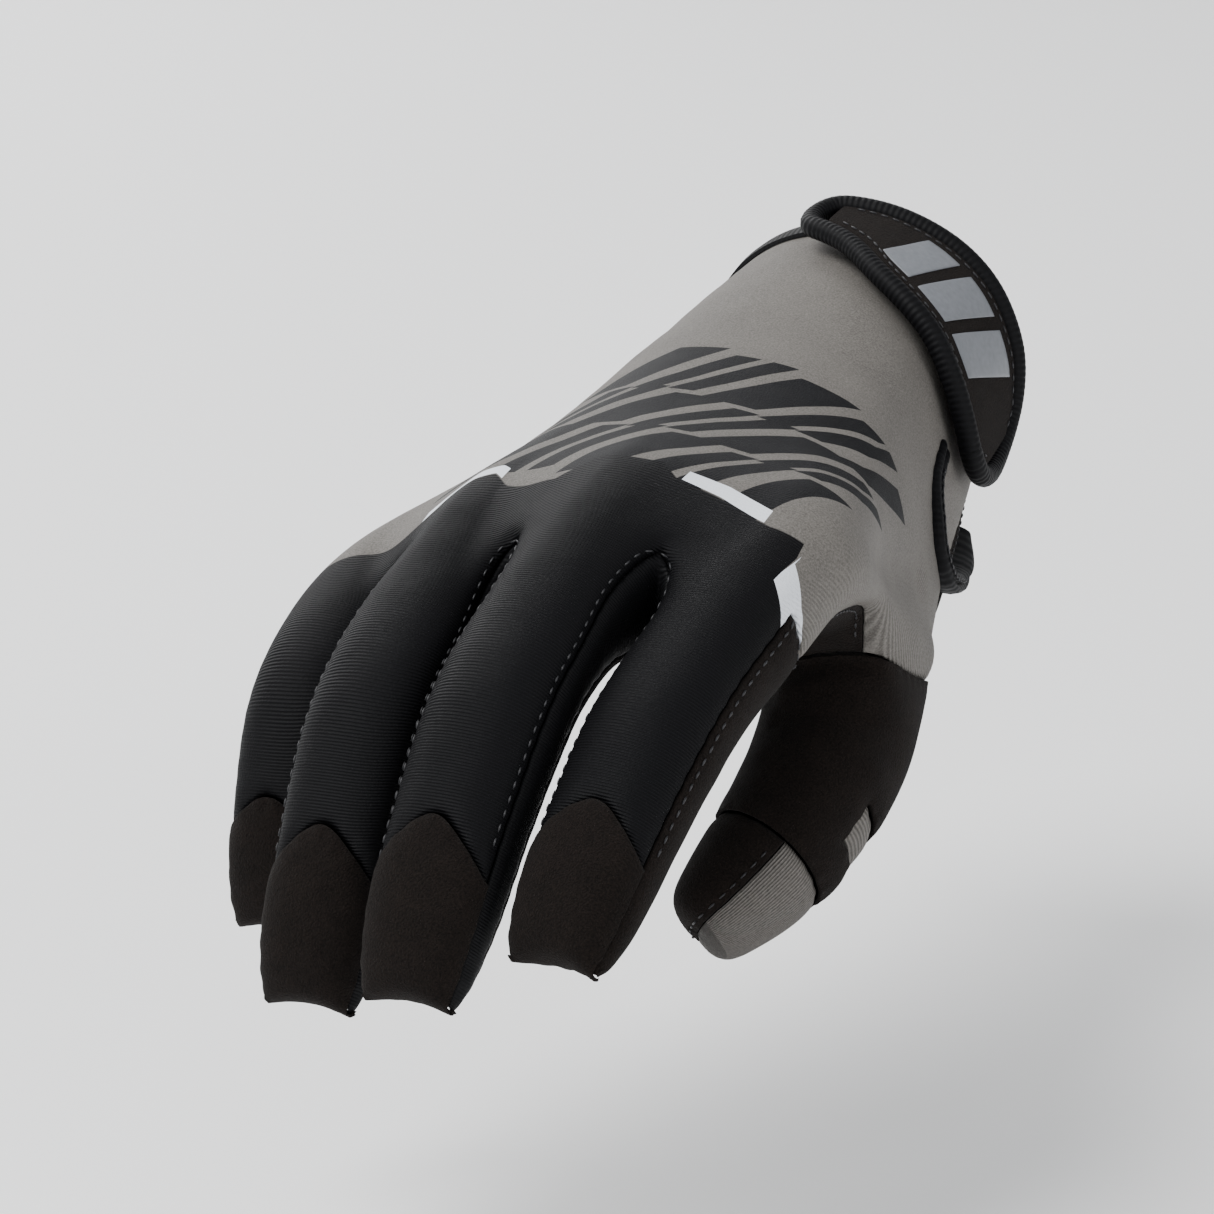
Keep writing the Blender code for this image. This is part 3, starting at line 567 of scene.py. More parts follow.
class Cage:
    """The coarse cage of the whole skin: points, faces named after panels, and a place in the weave.

    The place in the weave is in metres: across, and along from the crotches towards the tips.
    """

    def __init__(self) -> None:
        """Draws the hand, the fingers and the thumb."""
        self.points: list[np.ndarray] = []
        self.weave: list[tuple[float, float, float]] = []
        self.faces: list[tuple[int, ...]] = []
        self.panels: list[Panel] = []
        self.lines = [CentreLine(f) for f in FINGERS]
        rings = [self.add_hand_ring(r) for r in range(len(HAND_STATIONS))]
        self.hand_faces(rings)
        self.finger_faces(rings[-1])
        self.thumb_faces(rings)

    def add(self, p: np.ndarray, across: float | None = None, along: float | None = None) -> int:
        """Adds a point.

        Args:
            p: its place.
            across: its place across the weave, or None on the hand.
            along: its place along the weave, or None on the hand.

        Returns:
            Its number.
        """
        self.points.append(np.asarray(p, float))
        u = p[0] if across is None else across
        v = -p[1] - PALM_LENGTH if along is None else along
        self.weave.append((float(u), float(v), 0.0))
        return len(self.points) - 1

    def face(self, corners: tuple[int, ...], panel: Panel) -> None:
        """Adds a face of a panel."""
        self.faces.append(tuple(corners))
        self.panels.append(panel)

    def section_point(self, along: float, angle: float) -> np.ndarray:
        """A point of the hand's own section, before the knuckles shape it."""
        r = {c: table_value(HAND_SECTIONS, c, along) for c in Section._fields[1:]}
        half = (r["thumb_side"] if math.cos(math.radians(angle)) > 0 else r["little_side"]) * HAND_WIDTH
        x, z = rounded(angle, half, r["back"] * HAND_HEIGHT, r["palm"] * HAND_HEIGHT, 2.2)
        if x < 0:
            z -= r["arch"] * HAND_HEIGHT * (x / half) ** 2
        lean = math.radians(THENAR_ANGLE)
        swell = max(0.0, math.cos(math.radians(angle) - lean)) ** 3 * r["thenar"] * HAND_HEIGHT
        return np.array([x + swell * math.cos(lean), -along * PALM_LENGTH, z + swell * math.sin(lean)])

    def section_ring(self, along: float) -> list[np.ndarray]:
        """The points round the hand at a station."""
        sweep = 180 - 2 * SEAM_ANGLE
        back = [SEAM_ANGLE + sweep * k / (TOPS - 1) for k in range(TOPS)]
        under = [180 + SEAM_ANGLE + sweep * k / (TOPS - 1) for k in range(TOPS)]
        return [self.section_point(along, a) for a in back + [180] + under + [360]]

    def finger_point(self, i: int, s: float, k: int) -> np.ndarray:
        """Point k of finger i's ring at s, also where s lies in the hand."""
        line = self.lines[i]
        along = max(0.0, s / line.length)
        width = line.width * table_value(FINGER_RINGS, "width", along)
        height = line.height * table_value(FINGER_RINGS, "height", along)
        return line.point(s, ring_angles(i, s)[k], width, height)

    def knuckle_ring(self, s: float, crotch: bool) -> list[np.ndarray]:
        """The points round the hand made from the sections of the four fingers.

        Args:
            s: distance from the crotches, less than 0 in the hand.
            crotch: whether the webs between the fingers are shifted, as on the last ring.

        Returns:
            The points, in the order of the hand's rings.
        """
        share = 1.0 if crotch else 0.0
        back, under = [], []
        for i in range(4):
            for k in range(STEPS + 1):
                p = self.finger_point(i, s + share * web_shift(i, k), k)
                if k == 0 and i > 0:
                    back[-1] = (back[-1] + p) / 2
                else:
                    back.append(p)
        for i in (3, 2, 1, 0):
            for k in range(UNDER, UNDER + STEPS + 1):
                p = self.finger_point(i, s + share * web_shift(i, k), k)
                if k == UNDER and i < 3:
                    under[-1] = (under[-1] + p) / 2
                else:
                    under.append(p)
        return back + [self.finger_point(3, s, LITTLE_MID)] + under + [self.finger_point(0, s, THUMB_MID)]

    def add_hand_ring(self, row: int) -> list[int]:
        """Adds the points round the hand at one of its stations."""
        along = HAND_STATIONS[row]
        points = self.section_ring(along)
        share = smoothstep((along - 0.58) / 0.42)
        if share > 0:
            knuckles = self.knuckle_ring((along - 1) * PALM_LENGTH, row == len(HAND_STATIONS) - 1)
            points = [(1 - share) * p + share * q for p, q in zip(points, knuckles)]
        return [self.add(p) for p in points]

    def hand_panel(self, column: int) -> Panel:
        """The panel of a face of the hand."""
        return Panel.BACK if column < TOPS - 1 or column >= SLIT_COLUMN else Panel.PALM

    def hand_faces(self, rings: list[list[int]]) -> None:
        """Joins the hand's rings, apart from the opening for the thumb."""
        for row in range(len(rings) - 1):
            for column in range(ROUND):
                in_rows = THUMB_ROWS[0] <= row < THUMB_ROWS[1]
                if in_rows and THUMB_COLUMNS[0] <= column < THUMB_COLUMNS[1]:
                    continue
                after = (column + 1) % ROUND
                now, ahead = rings[row], rings[row + 1]
                self.face((now[column], now[after], ahead[after], ahead[column]), self.hand_panel(column))

    def finger_panel(self, i: int, k: int, ring: int) -> Panel:
        """The panel of a face of a finger."""
        if k < STEPS:
            return Panel(FINGERS[i].name + "_cap") if ring > CAP_RING else Panel.BACK
        if k in (STEPS, STEPS + 1):
            return Panel.PALM if i == 3 else Panel(FINGERS[i].name + "_side")
        if k in (THUMB_MID - 1, THUMB_MID):
            return Panel.PALM if i == 0 else Panel(FINGERS[i - 1].name + "_side")
        return Panel.PALM

    def finger_faces(self, crotch: list[int]) -> None:
        """Draws the four fingers.

        Args:
            crotch: the numbers of the points on the last ring of the hand.
        """
        webs = []
        for i in range(3):
            s = WEB_SHIFT["middle"]
            sides = self.finger_point(i, s, LITTLE_MID), self.finger_point(i + 1, s, THUMB_MID)
            webs.append(self.add(sum(sides) / 2))
        for i in range(4):
            back = crotch[STEPS * i : STEPS * (i + 1) + 1]
            first = FIRST_UNDER + STEPS * (3 - i)
            under = crotch[first : first + STEPS + 1]
            little = webs[i] if i < 3 else crotch[TOPS]
            thumb = webs[i - 1] if i > 0 else crotch[THUMB_SIDE]
            before = back + [little] + under + [thumb]
            for q in range(1, len(FINGER_RINGS)):
                now = self.add_finger_ring(i, q)
                for k in range(ROUND_FINGER):
                    after = (k + 1) % ROUND_FINGER
                    self.face((before[k], before[after], now[after], now[k]), self.finger_panel(i, k, q))
                before = now
            self.fingertip(i, before)

    def add_finger_ring(self, i: int, q: int) -> list[int]:
        """Adds the points round a finger.

        Args:
            i: which finger.
            q: which of its rings.

        Returns:
            The points' numbers.
        """
        line, row = self.lines[i], FINGER_RINGS[q]
        s0 = row.along * line.length
        web_share = {1: 0.5, 2: 0.2}.get(q, 0.0)
        hollow = {len(FINGER_RINGS) - 1: 1.0, len(FINGER_RINGS) - 2: 0.5}.get(q, 0.0)
        numbers = []
        for k, angle in enumerate(ring_angles(i, s0)):
            s = s0 + web_share * web_shift(i, k)
            if k <= STEPS:
                off_middle = abs(2 * k / STEPS - 1)
                s -= row.point * CAP_RISE * line.length * (1 - off_middle**0.9)
            to_side = math.cos(math.radians(angle)) ** 2
            s += (to_side - 0.55) * TIP_HOLLOW * hollow
            p = line.point(s, angle, line.width * row.width, line.height * row.height)
            across = FINGERS[i].across * HAND_WIDTH + math.cos(math.radians(angle)) * line.width / 2
            along = s - (1 - FINGERS[i].forward) * PALM_LENGTH
            numbers.append(self.add(p, across, along))
        return numbers

    def fingertip(self, i: int, ring: list[int]) -> None:
        """Closes a finger's last ring."""
        cap = Panel(FINGERS[i].name + "_cap")
        under = list(reversed(ring[UNDER : UNDER + STEPS + 1]))
        for k in range(STEPS):
            self.face((ring[k], ring[k + 1], under[k + 1], under[k]), cap)
        self.face((ring[0], under[0], ring[THUMB_MID]), cap)
        self.face((ring[STEPS], ring[LITTLE_MID], under[STEPS]), cap)

    def thumb_loop(self, rings: list[list[int]]) -> list[int]:
        """The edge of the opening that the thumb leaves by."""
        low, high = THUMB_ROWS
        columns = [c % ROUND for c in range(THUMB_COLUMNS[0], THUMB_COLUMNS[1] + 1)]
        loop = [rings[low][c] for c in columns]
        loop += [rings[r][columns[-1]] for r in range(low + 1, high + 1)]
        loop += [rings[high][c] for c in reversed(columns[:-1])]
        loop += [rings[r][columns[0]] for r in range(high - 1, low, -1)]
        return loop

    def thumb_panel(self, ring: int, k: int) -> Panel:
        """The thumb's panels; k runs from the palm over the wrist side, the nail side and the web."""
        if ring <= BASE_EDGE:
            return Panel.BACK if 6 <= k < 15 else Panel.PALM
        if ring <= BASE_END:
            return Panel.THUMB_INSET if ring == BASE_END - 1 and 7 <= k < 11 else Panel.THUMB_BASE
        return Panel.THUMB_NAIL if 2 <= k < 14 else Panel.THUMB_PAD

    def thumb_faces(self, rings: list[list[int]]) -> None:
        """Draws the thumb: rails from the hand to its first whole section, then rings to its tip.

        Args:
            rings: the numbers of the hand's points, ring by ring.
        """
        loop = self.thumb_loop(rings)
        count = len(loop)
        thumb = ThumbLine()
        angles = thumb.angles([self.points[v] for v in loop])
        first = thumb.ring(THUMB_START, angles)
        ahead = thumb.axes(THUMB_START)[0]
        start_along = float(np.mean([-p[1] - PALM_LENGTH for p in first]))
        before = loop
        rings_of_thumb = []
        for q in range(1, THUMB_RINGS + 1):
            if q <= RAIL_RINGS:
                ring = [rail(self.points[v], p, ahead, q / RAIL_RINGS) for v, p in zip(loop, first)]
                now = [self.add(p, k * THUMB_POINT_WEAVE, -p[1] - PALM_LENGTH) for k, p in enumerate(ring)]
            else:
                share = (q - RAIL_RINGS) / (THUMB_RINGS - RAIL_RINGS)
                t = THUMB_START + (1 - THUMB_START) * share
                along = start_along + float(np.linalg.norm(thumb.path(t) - thumb.path(THUMB_START)))
                ring = thumb.ring(t, angles)
                now = [self.add(p, k * THUMB_POINT_WEAVE, along) for k, p in enumerate(ring)]
            for k in range(count):
                after = (k + 1) % count
                self.face((before[k], before[after], now[after], now[k]), self.thumb_panel(q, k))
            before = now
            rings_of_thumb.append(now)
        self.relax([v for ring in rings_of_thumb[: RAIL_RINGS + 1] for v in ring], THUMB_RELAX)
        end = sum(self.points[v] for v in before) / count + THUMB_END * thumb.axes(1.0)[0]
        tip = self.add(end, 0.0, self.weave[before[0]][1] + THUMB_TIP_WEAVE)
        for k in range(count):
            self.face((before[k], before[(k + 1) % count], tip), self.thumb_panel(THUMB_RINGS, k))

    def relax(self, ids: list[int], passes: int) -> None:
        """Moves each of the points halfway to the middle of those round it, again and again."""
        around: dict[int, set[int]] = {v: set() for v in ids}
        for f in self.faces:
            for a, b in zip(f, f[1:] + f[:1]):
                for v, other in ((a, b), (b, a)):
                    if v in around:
                        around[v].add(other)
        for _ in range(passes):
            moved = {}
            for v, near in around.items():
                moved[v] = (self.points[v] + np.mean([self.points[o] for o in near], axis=0)) / 2
            for v, p in moved.items():
                self.points[v] = p

    def mesh(self) -> bpy.types.Mesh:
        """The cage as a mesh, with the panels as material numbers and the weave as an attribute."""
        bm = bmesh.new()
        weave = bm.verts.layers.float_vector.new("weave")
        verts = [bm.verts.new(p) for p in self.points]
        for vert, place in zip(verts, self.weave):
            vert[weave] = place
        for f, panel in zip(self.faces, self.panels):
            face = bm.faces.new([verts[i] for i in f])
            face.material_index = PANEL_NAMES.index(panel.value)
            face.smooth = True
        loose = [v for v in bm.verts if not v.link_faces]
        bmesh.ops.delete(bm, geom=loose, context="VERTS")
        bmesh.ops.recalc_face_normals(bm, faces=bm.faces)
        top = max(bm.faces, key=lambda f: f.calc_center_median().z)
        if top.normal.z < 0:
            bmesh.ops.reverse_faces(bm, faces=bm.faces)
        mesh = bpy.data.meshes.new("cage")
        bm.to_mesh(mesh)
        bm.free()
        return mesh


@dataclass(frozen=True)
class Fold:
    """A fold of the skin: the places that it runs through, in millimetres, its height and half width."""

    places: tuple[tuple[float, float, float], ...]
    height: float
    width: float


# Folds and creases of the cloth; a height below 0 is a crease
FOLDS = (
    Fold(((53, -134, 4), (48, -104, -12), (43, -72, -30)), 1.5, 5.0),
    Fold(((46, -120, -6), (41, -95, -18), (38, -74, -29)), -1.0, 3.0),
    Fold(((50, -118, 0), (46, -92, -8), (41, -70, -18)), -0.7, 4.0),
    Fold(((30, -104, -30), (44, -100, -27), (50, -92, -30)), 0.8, 2.2),
    Fold(((31, -108, -34), (44, -104, -33), (51, -96, -37)), -0.7, 2.0),
    Fold(((31, -112, -40), (42, -109, -40), (50, -102, -44)), 0.6, 2.4),
    Fold(((-20, -40, 12), (0, -48, 18), (18, -52, 14)), -0.35, 6.0),
    Fold(((-10, -20, 20), (10, -30, 20), (24, -44, 10)), 0.35, 5.0),
)


def add_object(name: str, data: bpy.types.ID) -> bpy.types.Object:
    """A new object in the scene."""
    obj = bpy.data.objects.new(name, data)
    bpy.context.scene.collection.objects.link(obj)
    return obj


class Skin:
    """The smoothed skin of the whole glove, from which the panels are cut."""

    def __init__(self, levels: int) -> None:
        """Smooths the cage, folds it and finds its seams."""
        self.cage = Cage()
        obj = add_object("skin", self.cage.mesh())
        smooth = obj.modifiers.new("smooth", "SUBSURF")
        smooth.levels = smooth.render_levels = levels
        graph = bpy.context.evaluated_depsgraph_get()
        mesh = bpy.data.meshes.new_from_object(obj.evaluated_get(graph), depsgraph=graph)
        self.places = self.read(mesh.vertices, "co")
        self.faces = np.zeros(len(mesh.polygons) * 4, int)
        mesh.polygons.foreach_get("vertices", self.faces)
        self.faces = self.faces.reshape(-1, 4)
        self.panels = np.zeros(len(mesh.polygons), int)
        mesh.polygons.foreach_get("material_index", self.panels)
        self.weave = self.read(mesh.attributes["weave"].data, "vector")
        self.mesh = mesh
        bpy.data.objects.remove(obj)
        self.normals = self.find_normals()
        self.seams = self.find_seams()
        self.lay_weave()
        self.shape()

    def lay_weave(self) -> None:
        """Measures the weave off the thumb: across round the hand, along from the crotches to the tips."""
        thumb = [i for i, name in enumerate(PANEL_NAMES) if name.startswith("thumb")]
        ids = np.unique(self.faces[~np.isin(self.panels, thumb)])
        places = self.places[ids]
        x, y, z = places.T
        drop = np.where(x > 0, np.maximum(0, WRAP_THUMB - z), -np.maximum(0, WRAP_LITTLE - z))
        along = -y - PALM_LENGTH
        total = np.zeros(len(ids))
        weight = np.full(len(ids), 1e-12)
        for line in self.cage.lines:
            steps = np.arange(LINE_START, line.length + LINE_PAST, LINE_STEP)
            middle = np.array([line.at(s) for s in steps])
            ahead = np.array([line.direction(s) for s in steps])
            gap = places @ ahead.T - np.sum(middle * ahead, axis=1)
            k = np.clip(np.sum(gap > 0, axis=1) - 1, 0, len(steps) - 2)
            rows = np.arange(len(ids))
            share = gap[rows, k] / np.maximum(gap[rows, k] - gap[rows, k + 1], 1e-9)
            s = steps[k] + np.clip(share, 0, 1) * LINE_STEP
            off = np.linalg.norm(places - middle[k], axis=1)
            w = np.exp(-((off / LINE_REACH) ** 2))
            total += w * (s - (1 - line.finger.forward) * PALM_LENGTH)
            weight += w
        share = np.clip((along - LINE_BLEND[0]) / (LINE_BLEND[1] - LINE_BLEND[0]), 0, 1)
        share = share * share * (3 - 2 * share)
        self.weave[ids, 0] = x + drop
        self.weave[ids, 1] = (1 - share) * along + share * total / weight

    @staticmethod
    def read(items: bpy.types.bpy_prop_collection, name: str) -> np.ndarray:
        """A column of vectors of a mesh."""
        values = np.zeros(len(items) * 3)
        items.foreach_get(name, values)
        return values.reshape(-1, 3)

    def find_normals(self) -> np.ndarray:
        """The way out of the skin at each place."""
        a, b, c, d = (self.places[self.faces[:, k]] for k in range(4))
        way = np.cross(c - a, d - b)
        total = np.zeros_like(self.places)
        for k in range(4):
            np.add.at(total, self.faces[:, k], way)
        return total / np.maximum(np.linalg.norm(total, axis=1, keepdims=True), 1e-12)

    def find_seams(self) -> dict[tuple[int, int], list[list[int]]]:
        """The lines where two panels meet, as runs of vertices."""
        owner: dict[tuple[int, int], int] = {}
        meets: dict[tuple[int, int], list[tuple[int, int]]] = {}
        for corners, panel in zip(self.faces.tolist(), self.panels.tolist()):
            for k in range(4):
                a, b = corners[k], corners[(k + 1) % 4]
                edge = (a, b) if a < b else (b, a)
                other = owner.setdefault(edge, panel)
                if other != panel:
                    meets.setdefault((min(other, panel), max(other, panel)), []).append(edge)
        return {pair: chains(edges) for pair, edges in meets.items()}

    def shape(self) -> None:
        """Lays the folds and the cloth's own unevenness on the skin, and draws it in at the seams."""
        lift = np.zeros(len(self.places))
        for fold in FOLDS:
            line = np.array([Vector(p) * MM for p in fold.places])
            fine = np.array([bezier(line, t) for t in np.linspace(0, 1, 40)])
            gap = np.full(len(self.places), np.inf)
            for p in fine:
                gap = np.minimum(gap, np.linalg.norm(self.places - p, axis=1))
            lift += fold.height * MM * np.exp(-((gap / (fold.width * MM)) ** 2))
        for i, p in enumerate(self.places):
            lift[i] += sum(height * noise.noise(Vector(p) * scale) for height, scale in UNEVEN)
        lift -= self.seam_draw()
        self.places = self.places + self.normals * lift[:, None]
        self.normals = self.find_normals()

    def seam_draw(self) -> np.ndarray:
        """How deep the stitching draws the skin in near the seams, with small puckers along them."""
        runs = [run for groups in self.seams.values() for run in groups]
        tree = KDTree(sum(len(run) for run in runs))
        along: list[float] = []
        fade: list[float] = []
        for run in runs:
            steps = np.linalg.norm(np.diff(self.places[run], axis=0), axis=1)
            walked = np.concatenate([[0.0], np.cumsum(steps)])
            for v, s in zip(run, walked.tolist()):
                tree.insert(self.places[v], len(along))
                along.append(s)
                fade.append(smoothstep(min(s, walked[-1] - s) / PUCKER_FADE))
        tree.balance()
        draw = np.zeros(len(self.places))
        for i, p in enumerate(self.places):
            _, n, gap = tree.find(p)
            if gap < SEAM_REACH:
                pucker = 1 + PUCKER * math.sin(2 * math.pi * along[n] / PUCKER_PITCH) * fade[n]
                draw[i] = SEAM_DEPTH * math.exp(-((gap / SEAM_WIDTH) ** 2)) * pucker
        return draw


def bezier(line: np.ndarray, t: float) -> np.ndarray:
    """A point at t of the arc that runs through three places."""
    a, b, c = line
    middle = 2 * b - (a + c) / 2
    return (1 - t) ** 2 * a + 2 * t * (1 - t) * middle + t**2 * c


def chains(edges: list[tuple[int, int]]) -> list[list[int]]:
    """Edges joined into runs of vertices.

    Args:
        edges: pairs of vertices, in any order.

    Returns:
        The runs; a closed one repeats its first vertex at its end.
    """
    near: dict[int, list[int]] = {}
    for a, b in edges:
        near.setdefault(a, []).append(b)
        near.setdefault(b, []).append(a)
    runs = []
    used: set[tuple[int, int]] = set()
    starts = [v for v, n in near.items() if len(n) == 1] + list(near)
    for start in starts:
        for second in near[start]:
            if (start, second) in used:
                continue
            run = [start]
            v, w = start, second
            while True:
                used.update({(v, w), (w, v)})
                run.append(w)
                ahead = [n for n in near[w] if (w, n) not in used]
                if not ahead or len(near[w]) > 2:
                    break
                v, w = w, ahead[0]
            runs.append(run)
    return runs


def linear(code: str) -> tuple[float, float, float, float]:
    """An sRGB hex colour as a linear one."""
    values = [int(code[i : i + 2], 16) / 255 for i in (1, 3, 5)]
    return (*[v / 12.92 if v <= 0.04045 else ((v + 0.055) / 1.055) ** 2.4 for v in values], 1.0)


def add_node(
    mat: bpy.types.Material, kind: str, settings: dict[str, object] | None = None, **links: object
) -> bpy.types.Node:
    """Adds a node to a material.

    Args:
        mat: the material.
        kind: the node's type.
        settings: its properties.
        links: its inputs by name, with _ for a space, or by number as in0; a socket is linked and
            any other value is set.

    Returns:
        The node.
    """
    node = mat.node_tree.nodes.new(kind)
    for name, value in (settings or {}).items():
        setattr(node, name, value)
    for name, value in links.items():
        key = int(name[2:]) if name[:2] == "in" and name[2:].isdigit() else name.replace("_", " ")
        socket = node.inputs[key]
        if isinstance(value, bpy.types.NodeSocket):
            mat.node_tree.links.new(value, socket)
        else:
            socket.default_value = value
    return node


def maths(mat: bpy.types.Material, operation: str, *values: object) -> bpy.types.NodeSocket:
    """The result of a Math node on values or sockets."""
    links = {f"in{i}": v for i, v in enumerate(values)}
    return add_node(mat, "ShaderNodeMath", {"operation": operation}, **links).outputs[0]


def mixed(mat: bpy.types.Material, share: object, a: object, b: object) -> bpy.types.NodeSocket:
    """Two colours mixed by a share."""
    node = add_node(mat, "ShaderNodeMix", {"data_type": "RGBA"}, in0=share, in6=a, in7=b)
    return node.outputs[2]


def ranged(mat: bpy.types.Material, value: object, low: float, high: float) -> bpy.types.NodeSocket:
    """A value spread so that low is 0 and high is 1, and held there."""
    return add_node(mat, "ShaderNodeMapRange", None, Value=value, From_Min=low, From_Max=high).outputs[0]


def new_material(
    name: str, roughness: float, gloss: float = 0.5, sheen: float = 0.0
) -> tuple[bpy.types.Material, bpy.types.Node]:
    """A material with an empty shader.

    Args:
        name: its name.
        roughness: the shader's roughness.
        gloss: the shader's specular level.
        sheen: the weight of the nap's sheen.

    Returns:
        The material and its shader node.
    """
    mat = bpy.data.materials.new(name)
    mat.use_nodes = True
    shader = mat.node_tree.nodes["Principled BSDF"]
    shader.inputs["Roughness"].default_value = roughness
    shader.inputs["Specular IOR Level"].default_value = gloss
    shader.inputs["Sheen Weight"].default_value = sheen
    shader.inputs["Sheen Roughness"].default_value = 0.6
    return mat, shader


def weave_place(mat: bpy.types.Material) -> tuple[bpy.types.NodeSocket, bpy.types.NodeSocket]:
    """The place in the weave across and along, in millimetres."""
    place = add_node(mat, "ShaderNodeAttribute", {"attribute_name": "weave"})
    parts = add_node(mat, "ShaderNodeSeparateXYZ", None, Vector=place.outputs["Vector"])
    return maths(mat, "MULTIPLY", parts.outputs[0], 1000.0), maths(mat, "MULTIPLY", parts.outputs[1], 1000.0)


def object_noise(mat: bpy.types.Material, size: float, detail: float = 2.0) -> bpy.types.NodeSocket:
    """Noise whose lumps are size millimetres wide."""
    place = add_node(mat, "ShaderNodeTexCoord").outputs["Object"]
    node = add_node(mat, "ShaderNodeTexNoise", None, Vector=place, Scale=1000.0 / size, Detail=detail)
    return node.outputs["Fac"]


def bump(mat: bpy.types.Material, shader: bpy.types.Node, height: bpy.types.NodeSocket, depth: float) -> None:
    """Gives the shader a relief, depth in millimetres."""
    node = add_node(mat, "ShaderNodeBump", None, Strength=1.0, Distance=depth * MM, Height=height)
    mat.node_tree.links.new(node.outputs[0], shader.inputs["Normal"])


class Slash(NamedTuple):
    """A slanted bar of the print on the back of the hand, in millimetres, and its grey heart's width."""

    across: float
    along: float
    width: float
    core: float


# Bars of the print, in three leaning ranks from the thumb's side to the little finger's: where the first
# one is, the steps to the next bar and the next rank, and the bars' widths and hearts
SLASH_HEIGHT = 20.5
SLASH_LEAN = 0.55
FIRST_SLASH = (45, -66)
NEXT_SLASH = (-13.6, -3.2)
NEXT_RANK = (-2.5, 22.5)
RANKS = (
    ((8.0, 0.0), (12.2, 2.0), (11.5, 0.0), (12.2, 2.2), (10.0, 0.0)),
    ((12.2, 2.0), (10.5, 0.0), (12.4, 2.4), (10.5, 0.0), (12.0, 2.0)),
    ((8.0, 0.0), (12.4, 2.2), (10.5, 0.0), (12.4, 2.2), (11.0, 0.0)),
)
SLASHES = tuple(
    Slash(*(f + column * n + rank * r for f, n, r in zip(FIRST_SLASH, NEXT_SLASH, NEXT_RANK)), *bar)
    for rank, bars in enumerate(RANKS)
    for column, bar in enumerate(bars)
)


class Stripe(NamedTuple):
    """A white stripe beside the black edge, in millimetres: across from and to, past the edge from and to."""

    first: float
    last: float
    near: float
    far: float


STRIPES = (
    Stripe(50.7, 80.0, -5.6, 0.0),
    Stripe(25.0, 42.5, -2.6, -0.2),
    Stripe(-24.0, -9.0, -2.6, -0.2),
)

# The edge between the grey knit and the black, across and along in millimetres on the weave
BORDER = (
    (-50, -11), (-35, -15.5), (-21, -17.5), (-11, -20), (-7, -17.5), (3, -15.5), (9, -20), (20, -20.5),
    (24, -18), (33, -17), (44, -14.5), (50.2, -14.5), (50.7, -4.5), (60, 0.5), (68, 3), (80, 5),
)
BORDER_SPAN = (-50.0, 80.0)
BORDER_RANGE = (-21.0, 9.0)


